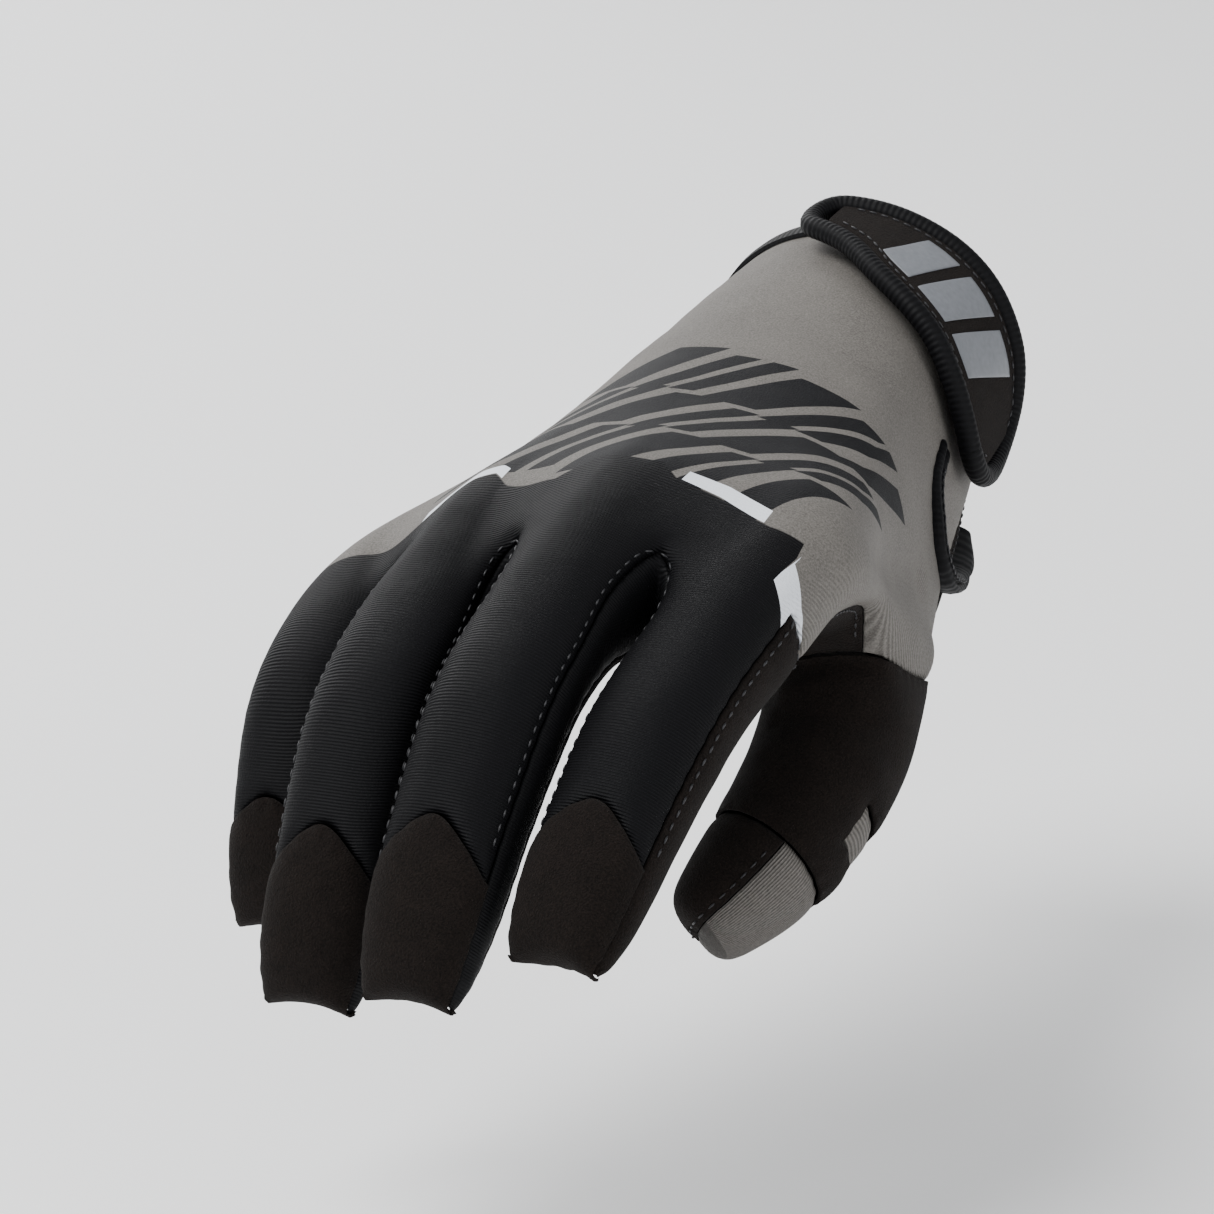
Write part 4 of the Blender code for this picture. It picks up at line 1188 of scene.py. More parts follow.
@dataclass(frozen=True)
class BackKnit:
    """Polyester stretch knit, heather grey at the wrist and dyed black over the knuckles and fingers.

    Its ribs run across the fingers half a millimetre apart, and wider where it folds at the thumb.
    The ribs are also painted into the colour: the black is lighter on the crests of its fine ribs,
    a painted highlight, and the grey is lighter on the crests of the wide fold ribs and darker in
    their troughs, painted light and shade.
    """

    grey: str = "#6c6965"
    # grey_dark: the heather's darker flecks, and also the painted shade in the troughs of the wide fold ribs
    grey_dark: str = "#45423f"
    grey_light: str = "#7c7873"
    black: str = "#040405"
    # Painted highlight: the lighter black laid on the crests of the fine ribs
    black_rib_highlight: str = "#0c0c0f"
    ink: str = "#070709"
    ink_light: str = "#131316"
    white: str = "#d8dce2"
    rib: float = 0.52
    wide_rib: float = 0.95
    fold: tuple[float, float] = (52.0, 66.0)
    relief: float = 0.055

    def make(self) -> bpy.types.Material:
        """Builds the material."""
        mat, shader = new_material("stretch_knit_heather_grey_and_black", 0.62, 0.1)
        across, along = weave_place(mat)
        edge = self.border(mat, across)
        past = maths(mat, "SUBTRACT", along, edge)
        dark = ranged(mat, past, -0.12, 0.12)
        fine = maths(mat, "SINE", maths(mat, "MULTIPLY", along, 2 * math.pi / self.rib))
        lean = maths(mat, "MULTIPLY_ADD", across, 0.45, along)
        wide = maths(mat, "SINE", maths(mat, "MULTIPLY", lean, 2 * math.pi / self.wide_rib))
        fold = maths(mat, "MULTIPLY", ranged(mat, across, *self.fold), maths(mat, "SUBTRACT", 1.0, dark))
        mottle = ranged(mat, object_noise(mat, 0.34, 2.0), 0.3, 0.7)
        cloud = object_noise(mat, 16.0, 2.0)
        # On the grey, the wide fold ribs are painted lighter on their crests and darker in their troughs
        # (painted light and shade), over the heather's random mottle
        wide = maths(mat, "MULTIPLY", wide, fold)
        share = maths(mat, "MULTIPLY_ADD", wide, 0.4, mottle)
        grey = mixed(mat, share, linear(self.grey_dark), linear(self.grey))
        grey = mixed(mat, maths(mat, "MULTIPLY", cloud, 0.4), grey, linear(self.grey_light))
        # Painted highlight: the black is lighter on the crests of its fine ribs
        share = maths(mat, "MULTIPLY_ADD", fine, 0.4, 0.5)
        black = mixed(mat, share, linear(self.black), linear(self.black_rib_highlight))
        ink = mixed(mat, mottle, linear(self.ink), linear(self.ink_light))
        colour = mixed(mat, self.slashes(mat, across, along), grey, ink)
        colour = mixed(mat, dark, colour, black)
        colour = mixed(mat, self.stripes(mat, across, past), colour, linear(self.white))
        mat.node_tree.links.new(colour, shader.inputs["Base Color"])
        height = maths(mat, "MULTIPLY", fine, maths(mat, "MULTIPLY_ADD", dark, 0.7, 0.25))
        height = maths(mat, "MULTIPLY_ADD", wide, 1.6, height)
        height = maths(mat, "MULTIPLY_ADD", mottle, 0.8, height)
        bump(mat, shader, height, self.relief)
        return mat

    @staticmethod
    def border(mat: bpy.types.Material, across: bpy.types.NodeSocket) -> bpy.types.NodeSocket:
        """Where the black begins, along the weave, for a place across it."""
        low, high = BORDER_SPAN
        node = add_node(mat, "ShaderNodeFloatCurve", None, Value=ranged(mat, across, low, high))
        curve = node.mapping.curves[0]
        bottom, top = BORDER_RANGE
        points = [((u - low) / (high - low), (v - bottom) / (top - bottom)) for u, v in BORDER]
        curve.points[0].location, curve.points[-1].location = points[0], points[-1]
        for p in points[1:-1]:
            curve.points.new(*p)
        for p in curve.points:
            p.handle_type = "VECTOR"
        node.mapping.update()
        return maths(mat, "MULTIPLY_ADD", node.outputs[0], top - bottom, bottom)

    @staticmethod
    def slashes(
        mat: bpy.types.Material, across: bpy.types.NodeSocket, along: bpy.types.NodeSocket
    ) -> bpy.types.NodeSocket:
        """1 on the bars of the print and 0 off them."""
        total: object = 0.0
        for bar in SLASHES:
            off = maths(mat, "SUBTRACT", along, bar.along)
            slant = maths(mat, "MULTIPLY_ADD", off, SLASH_LEAN, -bar.across)
            side = maths(mat, "ABSOLUTE", maths(mat, "ADD", across, slant))
            inside = maths(mat, "LESS_THAN", side, bar.width / 2)
            if bar.core:
                inside = maths(mat, "SUBTRACT", inside, maths(mat, "LESS_THAN", side, bar.core / 2))
            tall = maths(mat, "LESS_THAN", maths(mat, "ABSOLUTE", off), SLASH_HEIGHT / 2)
            total = maths(mat, "MAXIMUM", total, maths(mat, "MULTIPLY", inside, tall))
        return total

    @staticmethod
    def stripes(
        mat: bpy.types.Material, across: bpy.types.NodeSocket, past: bpy.types.NodeSocket
    ) -> bpy.types.NodeSocket:
        """1 on the white stripes beside the black edge and 0 off them."""
        total: object = 0.0
        for stripe in STRIPES:
            inside: object = 1.0
            for place, low, high in ((across, stripe.first, stripe.last), (past, stripe.near, stripe.far)):
                inside = maths(mat, "MULTIPLY", inside, maths(mat, "GREATER_THAN", place, low))
                inside = maths(mat, "MULTIPLY", inside, maths(mat, "LESS_THAN", place, high))
            total = maths(mat, "MAXIMUM", total, inside)
        return total


@dataclass(frozen=True)
class RibKnit:
    """Ribbed stretch knit of one colour; its ribs stand in lines that catch the light, and their crests are
    also painted lighter than their troughs: painted highlight and shade, over the knit's random mottle.
    """

    name: str
    # low and high: the colours in the ribs' troughs and on their crests, a painted shade and highlight, and
    # also the ends of the random mottle
    low: str
    high: str
    rib: float = 1.1
    depth: float = 0.12
    across: bool = False

    def make(self) -> bpy.types.Material:
        """Builds the material."""
        mat, shader = new_material(self.name, 0.62, 0.12)
        across, along = weave_place(mat)
        place = across if self.across else along
        rib = maths(mat, "SINE", maths(mat, "MULTIPLY", place, 2 * math.pi / self.rib))
        mottle = object_noise(mat, 0.5, 3.0)
        # Painted highlight and shade along the ribs, added to the knit's random mottle
        share = maths(mat, "ADD", maths(mat, "MULTIPLY", rib, 0.3), mottle)
        colour = mixed(mat, share, linear(self.low), linear(self.high))
        mat.node_tree.links.new(colour, shader.inputs["Base Color"])
        bump(mat, shader, maths(mat, "ADD", rib, maths(mat, "MULTIPLY", mottle, 0.6)), self.depth)
        return mat


@dataclass(frozen=True)
class Suede:
    """Brown-black synthetic suede with a short brushed nap, matt and a little uneven."""

    name: str = "brushed_suede_brown_black"
    dark: str = "#070504"
    light: str = "#1d1714"
    nap: float = 0.35

    def make(self) -> bpy.types.Material:
        """Builds the material."""
        mat, shader = new_material(self.name, 0.95, 0.08, 0.02)
        fibre = ranged(mat, object_noise(mat, self.nap, 4.0), 0.3, 0.7)
        patch = object_noise(mat, 5.0, 3.0)
        share = maths(mat, "MULTIPLY_ADD", patch, 0.6, maths(mat, "MULTIPLY_ADD", fibre, 0.7, -0.2))
        colour = mixed(mat, share, linear(self.dark), linear(self.light))
        mat.node_tree.links.new(colour, shader.inputs["Base Color"])
        bump(mat, shader, maths(mat, "MULTIPLY_ADD", patch, 1.2, fibre), 0.16)
        return mat


@dataclass(frozen=True)
class Print:
    """Silicone print on suede, smooth and half glossy."""

    name: str = "silicone_print_light_grey"
    colour: str = "#75787d"
    worn: str = "#5c5f64"

    def make(self) -> bpy.types.Material:
        """Builds the material."""
        mat, shader = new_material(self.name, 0.38)
        wear = object_noise(mat, 1.2, 3.0)
        colour = mixed(mat, wear, linear(self.worn), linear(self.colour))
        mat.node_tree.links.new(colour, shader.inputs["Base Color"])
        bump(mat, shader, wear, 0.04)
        return mat


@dataclass(frozen=True)
class Thread:
    """Bonded polyester sewing thread, a little glossy."""

    name: str = "sewing_thread_black"
    colour: str = "#101013"
    light: str = "#202024"

    def make(self) -> bpy.types.Material:
        """Builds the material."""
        mat, shader = new_material(self.name, 0.5)
        twist = object_noise(mat, 0.3, 1.0)
        colour = mixed(mat, twist, linear(self.colour), linear(self.light))
        mat.node_tree.links.new(colour, shader.inputs["Base Color"])
        return mat


class Cloth(Enum):
    """The glove's finishes."""

    BACK_KNIT = BackKnit()
    BLACK_KNIT = RibKnit("ribbed_stretch_knit_black", "#040405", "#0c0c0f", 0.52, 0.05)
    GREY_RIB = RibKnit("ribbed_stretch_knit_grey", "#403e3b", "#74706c", 0.75, 0.09)
    NAIL_RIB = RibKnit("ribbed_stretch_knit_grey_across", "#403e3b", "#74706c", 0.7, 0.09, True)
    SUEDE = Suede()
    TAPE = RibKnit("ribbed_elastic_tape_black", "#030304", "#0a0a0d", 1.15, 0.05)
    THREAD = Thread()
    SILICONE = Print()


def add_wall(obj: bpy.types.Object, thickness: float) -> bpy.types.Modifier:
    """Gives a surface a wall that grows inwards."""
    wall = obj.modifiers.new("wall", "SOLIDIFY")
    wall.thickness = thickness
    wall.offset = -1.0
    return wall


def place_piece(
    bm: bmesh.types.BMesh, name: str, mat: bpy.types.Material, angle: float = 60.0
) -> bpy.types.Object:
    """Turns a bmesh into a piece of the glove.

    Args:
        bm: the mesh, freed here.
        name: the piece's name.
        mat: its material.
        angle: edges sharper than this many degrees stay sharp.

    Returns:
        The piece, riding on the root.
    """
    mesh = bpy.data.meshes.new(name)
    for f in bm.faces:
        f.smooth = True
        f.material_index = 0
    bm.to_mesh(mesh)
    bm.free()
    mesh.set_sharp_from_angle(angle=math.radians(angle))
    mesh.materials.append(mat)
    obj = add_object(name, mesh)
    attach(obj, "root")
    LOG.info("%s: %d faces", name, len(mesh.polygons))
    return obj


@dataclass(frozen=True)
class PanelCut:
    """A panel cut from the skin, with its cut edges turned in."""

    panel: Panel
    cloth: Cloth
    raised: float = 0.0
    tuck: float = 0.35 * MM
    wall: float = WALL

    def build(self, skin: Skin, mat: bpy.types.Material) -> bpy.types.Object:
        """Cuts the panel out of the skin and gives it its thickness.

        Args:
            skin: the skin.
            mat: its material.

        Returns:
            The piece.
        """
        number = PANEL_NAMES.index(self.panel.value)
        faces = skin.faces[skin.panels == number]
        ids = np.unique(faces)
        on_seam = self.seam_vertices(skin, number)
        bm = bmesh.new()
        weave = bm.verts.layers.float_vector.new("weave")
        verts = {}
        for v in ids.tolist():
            lift = self.raised - (self.tuck if v in on_seam else 0.0)
            verts[v] = bm.verts.new(skin.places[v] + skin.normals[v] * lift)
            verts[v][weave] = skin.weave[v]
        for corners in faces.tolist():
            bm.faces.new([verts[v] for v in corners])
        bm.normal_update()
        self.draw_in({verts[v] for v in on_seam if v in verts})
        obj = place_piece(bm, "sewn_" + self.panel.value, mat)
        add_wall(obj, self.wall + self.raised).thickness_clamp = 0.6
        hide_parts(self.panel.value)
        return obj

    @staticmethod
    def seam_vertices(skin: Skin, number: int) -> set[int]:
        """The skin's vertices on this panel's seams."""
        found: set[int] = set()
        for pair, runs in skin.seams.items():
            if number in pair:
                for run in runs:
                    found.update(run)
        return found

    @staticmethod
    def draw_in(seam: set[bmesh.types.BMVert]) -> None:
        """Pulls the vertices on the seams a little into the panel, so that two panels don't meet."""
        for v in seam:
            inner = [e.other_vert(v).co for e in v.link_edges if e.other_vert(v) not in seam]
            if inner:
                way = sum(inner, Vector()) / len(inner) - v.co
                v.co += way.normalized() * EDGE_DRAW


@dataclass(frozen=True)
class StitchRow:
    """A row of stitches beside a seam: on which panel, beside which one, and how far in."""

    on: Panel
    beside: Panel
    inset: float = 1.5


@dataclass
class Stitching:
    """The stitches beside the seams, as short rounded threads."""

    pitch: float = 2.5 * MM
    length: float = 1.75 * MM
    thick: float = 0.42 * MM
    lift: float = 0.12 * MM
    reach: float = 0.4 * MM
    probe: float = 2 * MM
    bm: bmesh.types.BMesh = field(default_factory=bmesh.new)

    def row(self, skin: Skin, tree: BVHTree, row: StitchRow) -> None:
        """Sews one row.

        Args:
            skin: the skin with its seams.
            tree: its surface.
            row: where the row runs.
        """
        a, b = PANEL_NAMES.index(row.on.value), PANEL_NAMES.index(row.beside.value)
        own = np.unique(skin.faces[skin.panels == a])
        own_places = KDTree(len(own))
        for v in own.tolist():
            own_places.insert(skin.places[v], v)
        own_places.balance()
        for run in skin.seams.get((min(a, b), max(a, b)), []):
            if len(run) < SHORTEST_SEAM:
                continue
            line = skin.places[run]
            ways = skin.normals[run]
            tangent = np.gradient(line, axis=0)
            side = np.cross(ways, tangent)
            side /= np.maximum(np.linalg.norm(side, axis=1, keepdims=True), 1e-9)
            middle, step = line[len(run) // 2], side[len(run) // 2] * self.probe
            if own_places.find(middle + step)[2] > own_places.find(middle - step)[2]:
                side = -side
            beside = smooth_line(line + side * row.inset * MM, 4)
            kept = np.sum(np.gradient(beside, axis=0) * tangent, axis=1) / np.sum(tangent**2, axis=1)
            inner = slice(3, -3)
            if np.median(kept) > 0:
                self.sew(beside[inner], tree, open_at=kept[inner] < TIGHTEST_TURN)

    def sew(self, line: np.ndarray, tree: BVHTree, open_at: np.ndarray | None = None) -> None:
        """Lays stitches along a line on a surface.

        Args:
            line: the places that it runs through.
            tree: the surface.
            open_at: which places are left without stitches, as where the line turns a tight corner.
        """
        steps = np.linalg.norm(np.diff(line, axis=0), axis=1)
        walked = np.concatenate([[0.0], np.cumsum(steps)])
        count = int(walked[-1] / self.pitch)
        for n in range(count):
            s = (n + 0.5) * self.pitch
            before, after = (
                np.array([np.interp(s + d, walked, line[:, c]) for c in range(3)])
                for d in (-self.reach, self.reach)
            )
            if open_at is not None and open_at[int(np.searchsorted(walked, s)) - 1]:
                continue
            place = Vector((before + after) / 2)
            hit, normal, _, _ = tree.find_nearest(place)
            if hit is None:
                continue
            ahead = Vector(after - before).normalized()
            self.stitch(hit + normal * self.lift, ahead, normal)

    def stitch(self, place: Vector, ahead: Vector, up: Vector) -> None:
        """Adds one stitch."""
        side = up.cross(ahead).normalized()
        up = ahead.cross(side)
        turn = Matrix((ahead, side, up)).transposed().to_4x4()
        size = Matrix.Diagonal((self.length / 2, self.thick / 2, self.thick / 2, 1.0))
        bmesh.ops.create_icosphere(
            self.bm, subdivisions=1, radius=1.0, matrix=Matrix.Translation(place) @ turn @ size
        )

    def build(self, name: str, mat: bpy.types.Material) -> bpy.types.Object:
        """Finishes the stitches as one piece."""
        return place_piece(self.bm, name, mat, 180.0)


def smooth_line(line: np.ndarray, passes: int) -> np.ndarray:
    """The line with its corners worn off."""
    line = line.copy()
    for _ in range(passes):
        line[1:-1] = (line[:-2] + 2 * line[1:-1] + line[2:]) / 4
    return line


class Wrist:
    """The outside of the skin near the wrist opening, by angle and distance from the opening."""

    def __init__(self, cage: Cage) -> None:
        """Keeps the cage."""
        self.cage = cage

    def point(self, angle: float, y: float) -> np.ndarray:
        """A place on the skin; y runs from the opening towards the fingers."""
        return self.cage.section_point(max(0.0, y) / PALM_LENGTH, angle % 360) - np.array([0, min(0.0, y), 0])

    def outward(self, angle: float, y: float) -> np.ndarray:
        """The way out of the skin there."""
        d = 0.5
        round_it = self.point(angle + d, y) - self.point(angle - d, y)
        along = self.point(angle, max(0.0, y) + 1 * MM) - self.point(angle, max(0.0, y))
        n = unit(np.cross(along, round_it))
        p = self.point(angle, y)
        return n if n @ np.array([p[0], 0, p[2]]) > 0 else -n

    def over(self, angle: float, y: float, height: float) -> np.ndarray:
        """A place at a height over the skin."""
        return self.point(angle, y) + self.outward(angle, y) * height


def loft(
    rows: list[list[np.ndarray]], weave: list[list[tuple[float, float]]], closed: bool
) -> bmesh.types.BMesh:
    """A tube of closed outlines, bridged one to the next.

    Args:
        rows: the outlines, each of the same number of points.
        weave: the place in the weave of each point, in metres.
        closed: whether the last outline joins the first; else both ends are filled.

    Returns:
        The tube.
    """
    bm = bmesh.new()
    layer = bm.verts.layers.float_vector.new("weave")
    grid = []
    for row, places in zip(rows, weave):
        verts = [bm.verts.new(p) for p in row]
        for vert, place in zip(verts, places):
            vert[layer] = (*place, 0.0)
        grid.append(verts)
    count = len(rows)
    sides = len(rows[0])
    for r in range(count if closed else count - 1):
        a, b = grid[r], grid[(r + 1) % count]
        for k in range(sides):
            m = (k + 1) % sides
            bm.faces.new((a[k], a[m], b[m], b[k]))
    if not closed:
        bm.faces.new(list(reversed(grid[0])))
        bm.faces.new(grid[-1])
    bmesh.ops.recalc_face_normals(bm, faces=bm.faces)
    return bm


def strap_edges(angle: float) -> tuple[float, float, float]:
    """The strap's near edge, far edge and lift at an angle."""
    near = table_value(STRAP_ROWS, "near", angle, "angle") * STRAP_WIDTH
    far = table_value(STRAP_ROWS, "far", angle, "angle") * STRAP_WIDTH
    lift = table_value(STRAP_ROWS, "lift", angle, "angle") * STRAP_RISE + STRAP_LIFT
    return near, far, lift


def end_turn(angle: float, margin: float) -> float:
    """How many degrees a rounded end of the strap reaches past its last row, less a margin."""
    near, far, _ = strap_edges(angle)
    reach = END_REACH * (far - near - PIPING) / 2 - margin
    return math.degrees(reach / WRIST_RADIUS)


def strap_inside(angle: float, margin: float = PIPING + FIT) -> tuple[float, float, float]:
    """The strap's edges inside its piping, further in where the edge runs at a slant or round an end.

    Args:
        angle: degrees round the wrist.
        margin: how far inside the strap's own edges.

    Returns:
        The near edge, the far edge and the lift.
    """
    near, far, lift = strap_edges(angle)
    before, after = strap_edges(angle - 1), strap_edges(angle + 1)
    arc = 2 * math.radians(1) * WRIST_RADIUS
    near += margin * math.hypot(1, (after[0] - before[0]) / arc)
    far -= margin * math.hypot(1, (after[1] - before[1]) / arc)
    first = STRAP_ROWS[0].angle
    past = max(0.0, first - angle) / end_turn(first, margin - PIPING / 2)
    middle = (near + far) / 2
    half = (far - near) / 2 * math.sqrt(max(0.0, 1 - past**2))
    return middle - half, middle + half, lift


@dataclass
class Strap:
    """The closing strap: padded piping round suede, with a print and a line of stitches."""

    wrist: Wrist
    ribs: float = 1.15 * MM
    sides: int = 14
    swell: tuple[float, ...] = (1.0, 0.993, 0.978, 0.993)
    tuck: float = 0.72 * PIPING
    print_height: float = 0.76
    print_rise: float = 0.25 * MM
    print_wall: float = 0.5 * MM
    print_edge: float = 0.15 * MM

    def end(self, angle: float, outward: int) -> list[tuple[float, float, float]]:
        """The rounded end of the piping's path."""
        near, far, lift = strap_edges(angle)
        middle, reach = (near + far) / 2, (far - near - PIPING) / 2
        turn = end_turn(angle, 0.0)
        places = []
        for k in range(1, 12):
            a = math.pi * k / 12
            around, across = outward * turn * math.sin(a), outward * reach * math.cos(a)
            places.append((angle + around, middle + across, lift))
        return places

    def piping_path(self) -> np.ndarray:
        """The middle of the piping, all round, in even steps of a quarter rib."""
        first, last = STRAP_ROWS[0].angle, STRAP_ROWS[-1].angle
        r = PIPING / 2
        path = [(a, strap_edges(a)[1] - r, strap_edges(a)[2]) for a in spaced(first, last, 40)]
        path += self.end(last, 1)
        path += [(a, strap_edges(a)[0] + r, strap_edges(a)[2]) for a in spaced(last, first, 40)]
        path += self.end(first, -1)
        line = np.array([self.wrist.over(a, y, lift + r) for a, y, lift in path])
        for _ in range(3):
            line = (np.roll(line, 1, axis=0) + 2 * line + np.roll(line, -1, axis=0)) / 4
        shut = np.vstack([line, line[:1]])
        walked = np.concatenate([[0.0], np.cumsum(np.linalg.norm(np.diff(shut, axis=0), axis=1))])
        steps = 4 * round(walked[-1] / self.ribs)
        return np.array(
            [[np.interp(walked[-1] * n / steps, walked, shut[:, c]) for c in range(3)] for n in range(steps)]
        )

    def piping(self, mat: bpy.types.Material) -> bpy.types.Object:
        """Builds the padded edge, with its ribs modelled.

        Args:
            mat: its material.

        Returns:
            The piece.
        """
        path = self.piping_path()
        count = len(path)
        rows, weave = [], []
        for i, c in enumerate(path):
            ahead = unit(path[(i + 3) % count] - path[i - 3])
            out = unit(np.array([c[0], 0.0, c[2]]))
            side = unit(np.cross(ahead, out))
            up = np.cross(side, ahead)
            r = PIPING / 2 * self.swell[i % 4]
            angles = [2 * math.pi * k / self.sides for k in range(self.sides)]
            rows.append([c + r * (math.cos(a) * side + math.sin(a) * up) for a in angles])
            weave.append([(a * r, i * self.ribs / 4) for a in angles])
        obj = place_piece(loft(rows, weave, True), "ribbed_strap_piping", mat, 80.0)
        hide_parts("strap_piping")
        return obj

    def crowned(self, angle: float, y: float, lift: float, share: float) -> np.ndarray:
        """A place on the top of the suede; share runs from -1 to 1 between the suede's edges."""
        return self.wrist.over(angle, y, lift + FLAP_TOP + STRAP_CROWN * (1 - share**4))

    def flap(self, mat: bpy.types.Material) -> bpy.types.Object:
        """Builds the suede inside the piping, crowned a little and reaching under it.

        Args:
            mat: its material.

        Returns:
            The piece.
        """
        rows, weave = [], []
        for angle in spaced(*FLAP_ANGLES, 60):
            near, far, lift = strap_inside(angle, self.tuck)
            top, low = [], []
            for y in spaced(near, far, 16):
                top.append(self.crowned(angle, y, lift, 2 * (y - near) / (far - near) - 1))
                low.append(self.wrist.over(angle, y, lift + FLAP_RISE))
            rows.append(top + low[::-1])
            weave.append([(k * MM, angle * 0.5 * MM) for k in range(len(rows[-1]))])
        obj = place_piece(loft(rows, weave, False), "suede_strap_flap", mat, 50.0)
        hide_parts("strap_flap")
        return obj

    def pad(
        self, number: int, first: float, last: float, lean: float, mat: bpy.types.Material
    ) -> bpy.types.Object:
        """One raised bar of the strap's print.

        Args:
            number: which bar.
            first: the angle round the wrist where it starts.
            last: the angle where it ends.
            lean: how many degrees it leans over its height.
            mat: its material.

        Returns:
            The piece.
        """
        bm = bmesh.new()
        bmesh.ops.create_grid(bm, x_segments=14, y_segments=14, size=0.5)
        for v in bm.verts:
            share = 0.5 + self.print_height * v.co.y
            angle = first + (last - first) * (v.co.x + 0.5) + lean * (share - 0.5)
            near, far, lift = strap_inside(angle)
            y = near + (far - near) * share
            v.co = self.crowned(angle, y, lift + self.print_rise, 2 * share - 1)
        bmesh.ops.recalc_face_normals(bm, faces=bm.faces)
        middle = sum((v.co for v in bm.verts), Vector()) / len(bm.verts)
        if bm.faces[0].normal.dot(Vector((middle.x, 0, middle.z))) < 0:
            bmesh.ops.reverse_faces(bm, faces=bm.faces)
        obj = place_piece(bm, f"strap_print_{number}", mat)
        add_wall(obj, self.print_wall)
        soft = obj.modifiers.new("edge", "BEVEL")
        soft.width = self.print_edge
        soft.segments = 2
        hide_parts(f"strap_pad_{number}")
        return obj

    def seam_line(self, margin: float) -> list[np.ndarray]:
        """The two lines of stitches just inside the piping."""
        lines = []
        for edge in (0, 1):
            line = []
            for angle in spaced(FLAP_ANGLES[0] + 2, FLAP_ANGLES[1] - 2, 60):
                inside = strap_inside(angle, PIPING + margin)
                line.append(self.wrist.over(angle, inside[edge], inside[2] + FLAP_RISE + STRAP_WALL))
            lines.append(np.array(line))
        return lines


@dataclass
class CuffBinding:
    """Tape folded over the edge of the wrist opening."""

    skin: Skin
    steps: int = 180
    probe: float = 5 * MM
    lift: float = 0.15 * MM

    def build(self, mat: bpy.types.Material) -> bpy.types.Object:
        """Builds the tape round the opening.

        Args:
            mat: its material.

        Returns:
            The piece.
        """
        wrist = Wrist(self.skin.cage)
        inside = WALL + 2 * FIT
        profile = (
            (BINDING_OVERLAP, 0.1 * MM),
            (BINDING_OVERLAP - 0.3 * MM, 0.75 * BINDING_WALL),
            (BINDING_OVERLAP / 2, BINDING_WALL),
            (0.3 * MM, 0.9 * BINDING_WALL),
            (-0.9 * MM, 0.1 * BINDING_WALL),
            (-1.1 * MM, -inside / 2),
            (-0.9 * MM, -inside),
            (0.3 * MM, -inside - 0.9 * BINDING_WALL),
            (BINDING_OVERLAP / 2, -inside - BINDING_WALL),
            (BINDING_OVERLAP, -inside - 0.6 * BINDING_WALL),
            (BINDING_OVERLAP, -inside + 0.2 * MM),
            (0.2 * MM, -inside + 0.2 * MM),
            (0.2 * MM, 0.0),
        )
        rows, weave = [], []
        for n in range(self.steps):
            angle = 360 * n / self.steps
            p = wrist.point(angle, 0.0)
            ahead = (wrist.point(angle, self.probe) - p) / self.probe
            out = wrist.outward(angle, 0.0)
            flat = unit(np.array([out[0], 0.0, out[2]]))
            rows.append([p + ahead * y + flat * (h + self.lift) / (flat @ out) for y, h in profile])
            weave.append([(k * MM, n * MM) for k in range(len(profile))])
        obj = place_piece(loft(rows, weave, True), "cuff_tape", mat, 40.0)
        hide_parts("cuff_binding")
        return obj


@dataclass
class SlitTape:
    """The tape round the slit below the strap, puckered where the strap draws it together."""

    wrist: Wrist
    lift: float = 0.2 * MM
    thread_rise: float = 3 * MM
    steps: int = 90

    def place(self, t: float) -> tuple[np.ndarray, np.ndarray]:
        """The tape's middle at t and the way out there."""
        angle = table_value(SLIT_ROWS, "angle", t)
        far = table_value(SLIT_ROWS, "far", t) * SLIT_LENGTH
        return self.wrist.over(angle, far, self.lift), self.wrist.outward(angle, far)

    def build(self, mat: bpy.types.Material) -> bpy.types.Object:
        """Builds the tape with its rolled edges.

        Args:
            mat: its material.

        Returns:
            The piece.
        """
        rows, weave = [], []
        half_outline = ((-1, -0.3), (-1, 0.35), (-0.82, 0.8), (-0.5, 1.0), (-0.15, 0.8))
        outline = (*half_outline, (0, 0.62), *((-u, v) for u, v in reversed(half_outline)))
        for n, t in enumerate(spaced(0, 1, self.steps)):
            rise = table_value(SLIT_ROWS, "rise", t) * MM
            half = SLIT_TAPE / 2 * (1 - 0.35 * smoothstep((t - 0.9) / 0.1)) * (1 + 0.05 * math.sin(n * 0.9))
            c, up = self.place(t)
            ahead = unit(self.place(min(1, t + 0.02))[0] - self.place(max(0, t - 0.02))[0])
            side = unit(np.cross(ahead, up))
            rows.append([c + side * half * u + up * rise * v for u, v in outline])
            weave.append([(k * MM, n * 0.45 * MM) for k in range(len(outline))])
        obj = place_piece(loft(rows, weave, False), "slit_tape", mat, 60.0)
        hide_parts("slit_binding")
        return obj

    def seam_line(self) -> np.ndarray:
        """The line of stitches down the tape."""
        places = [self.place(t) for t in spaced(0.1, 0.95, 60)]
        return np.array([middle + out * self.thread_rise for middle, out in places])


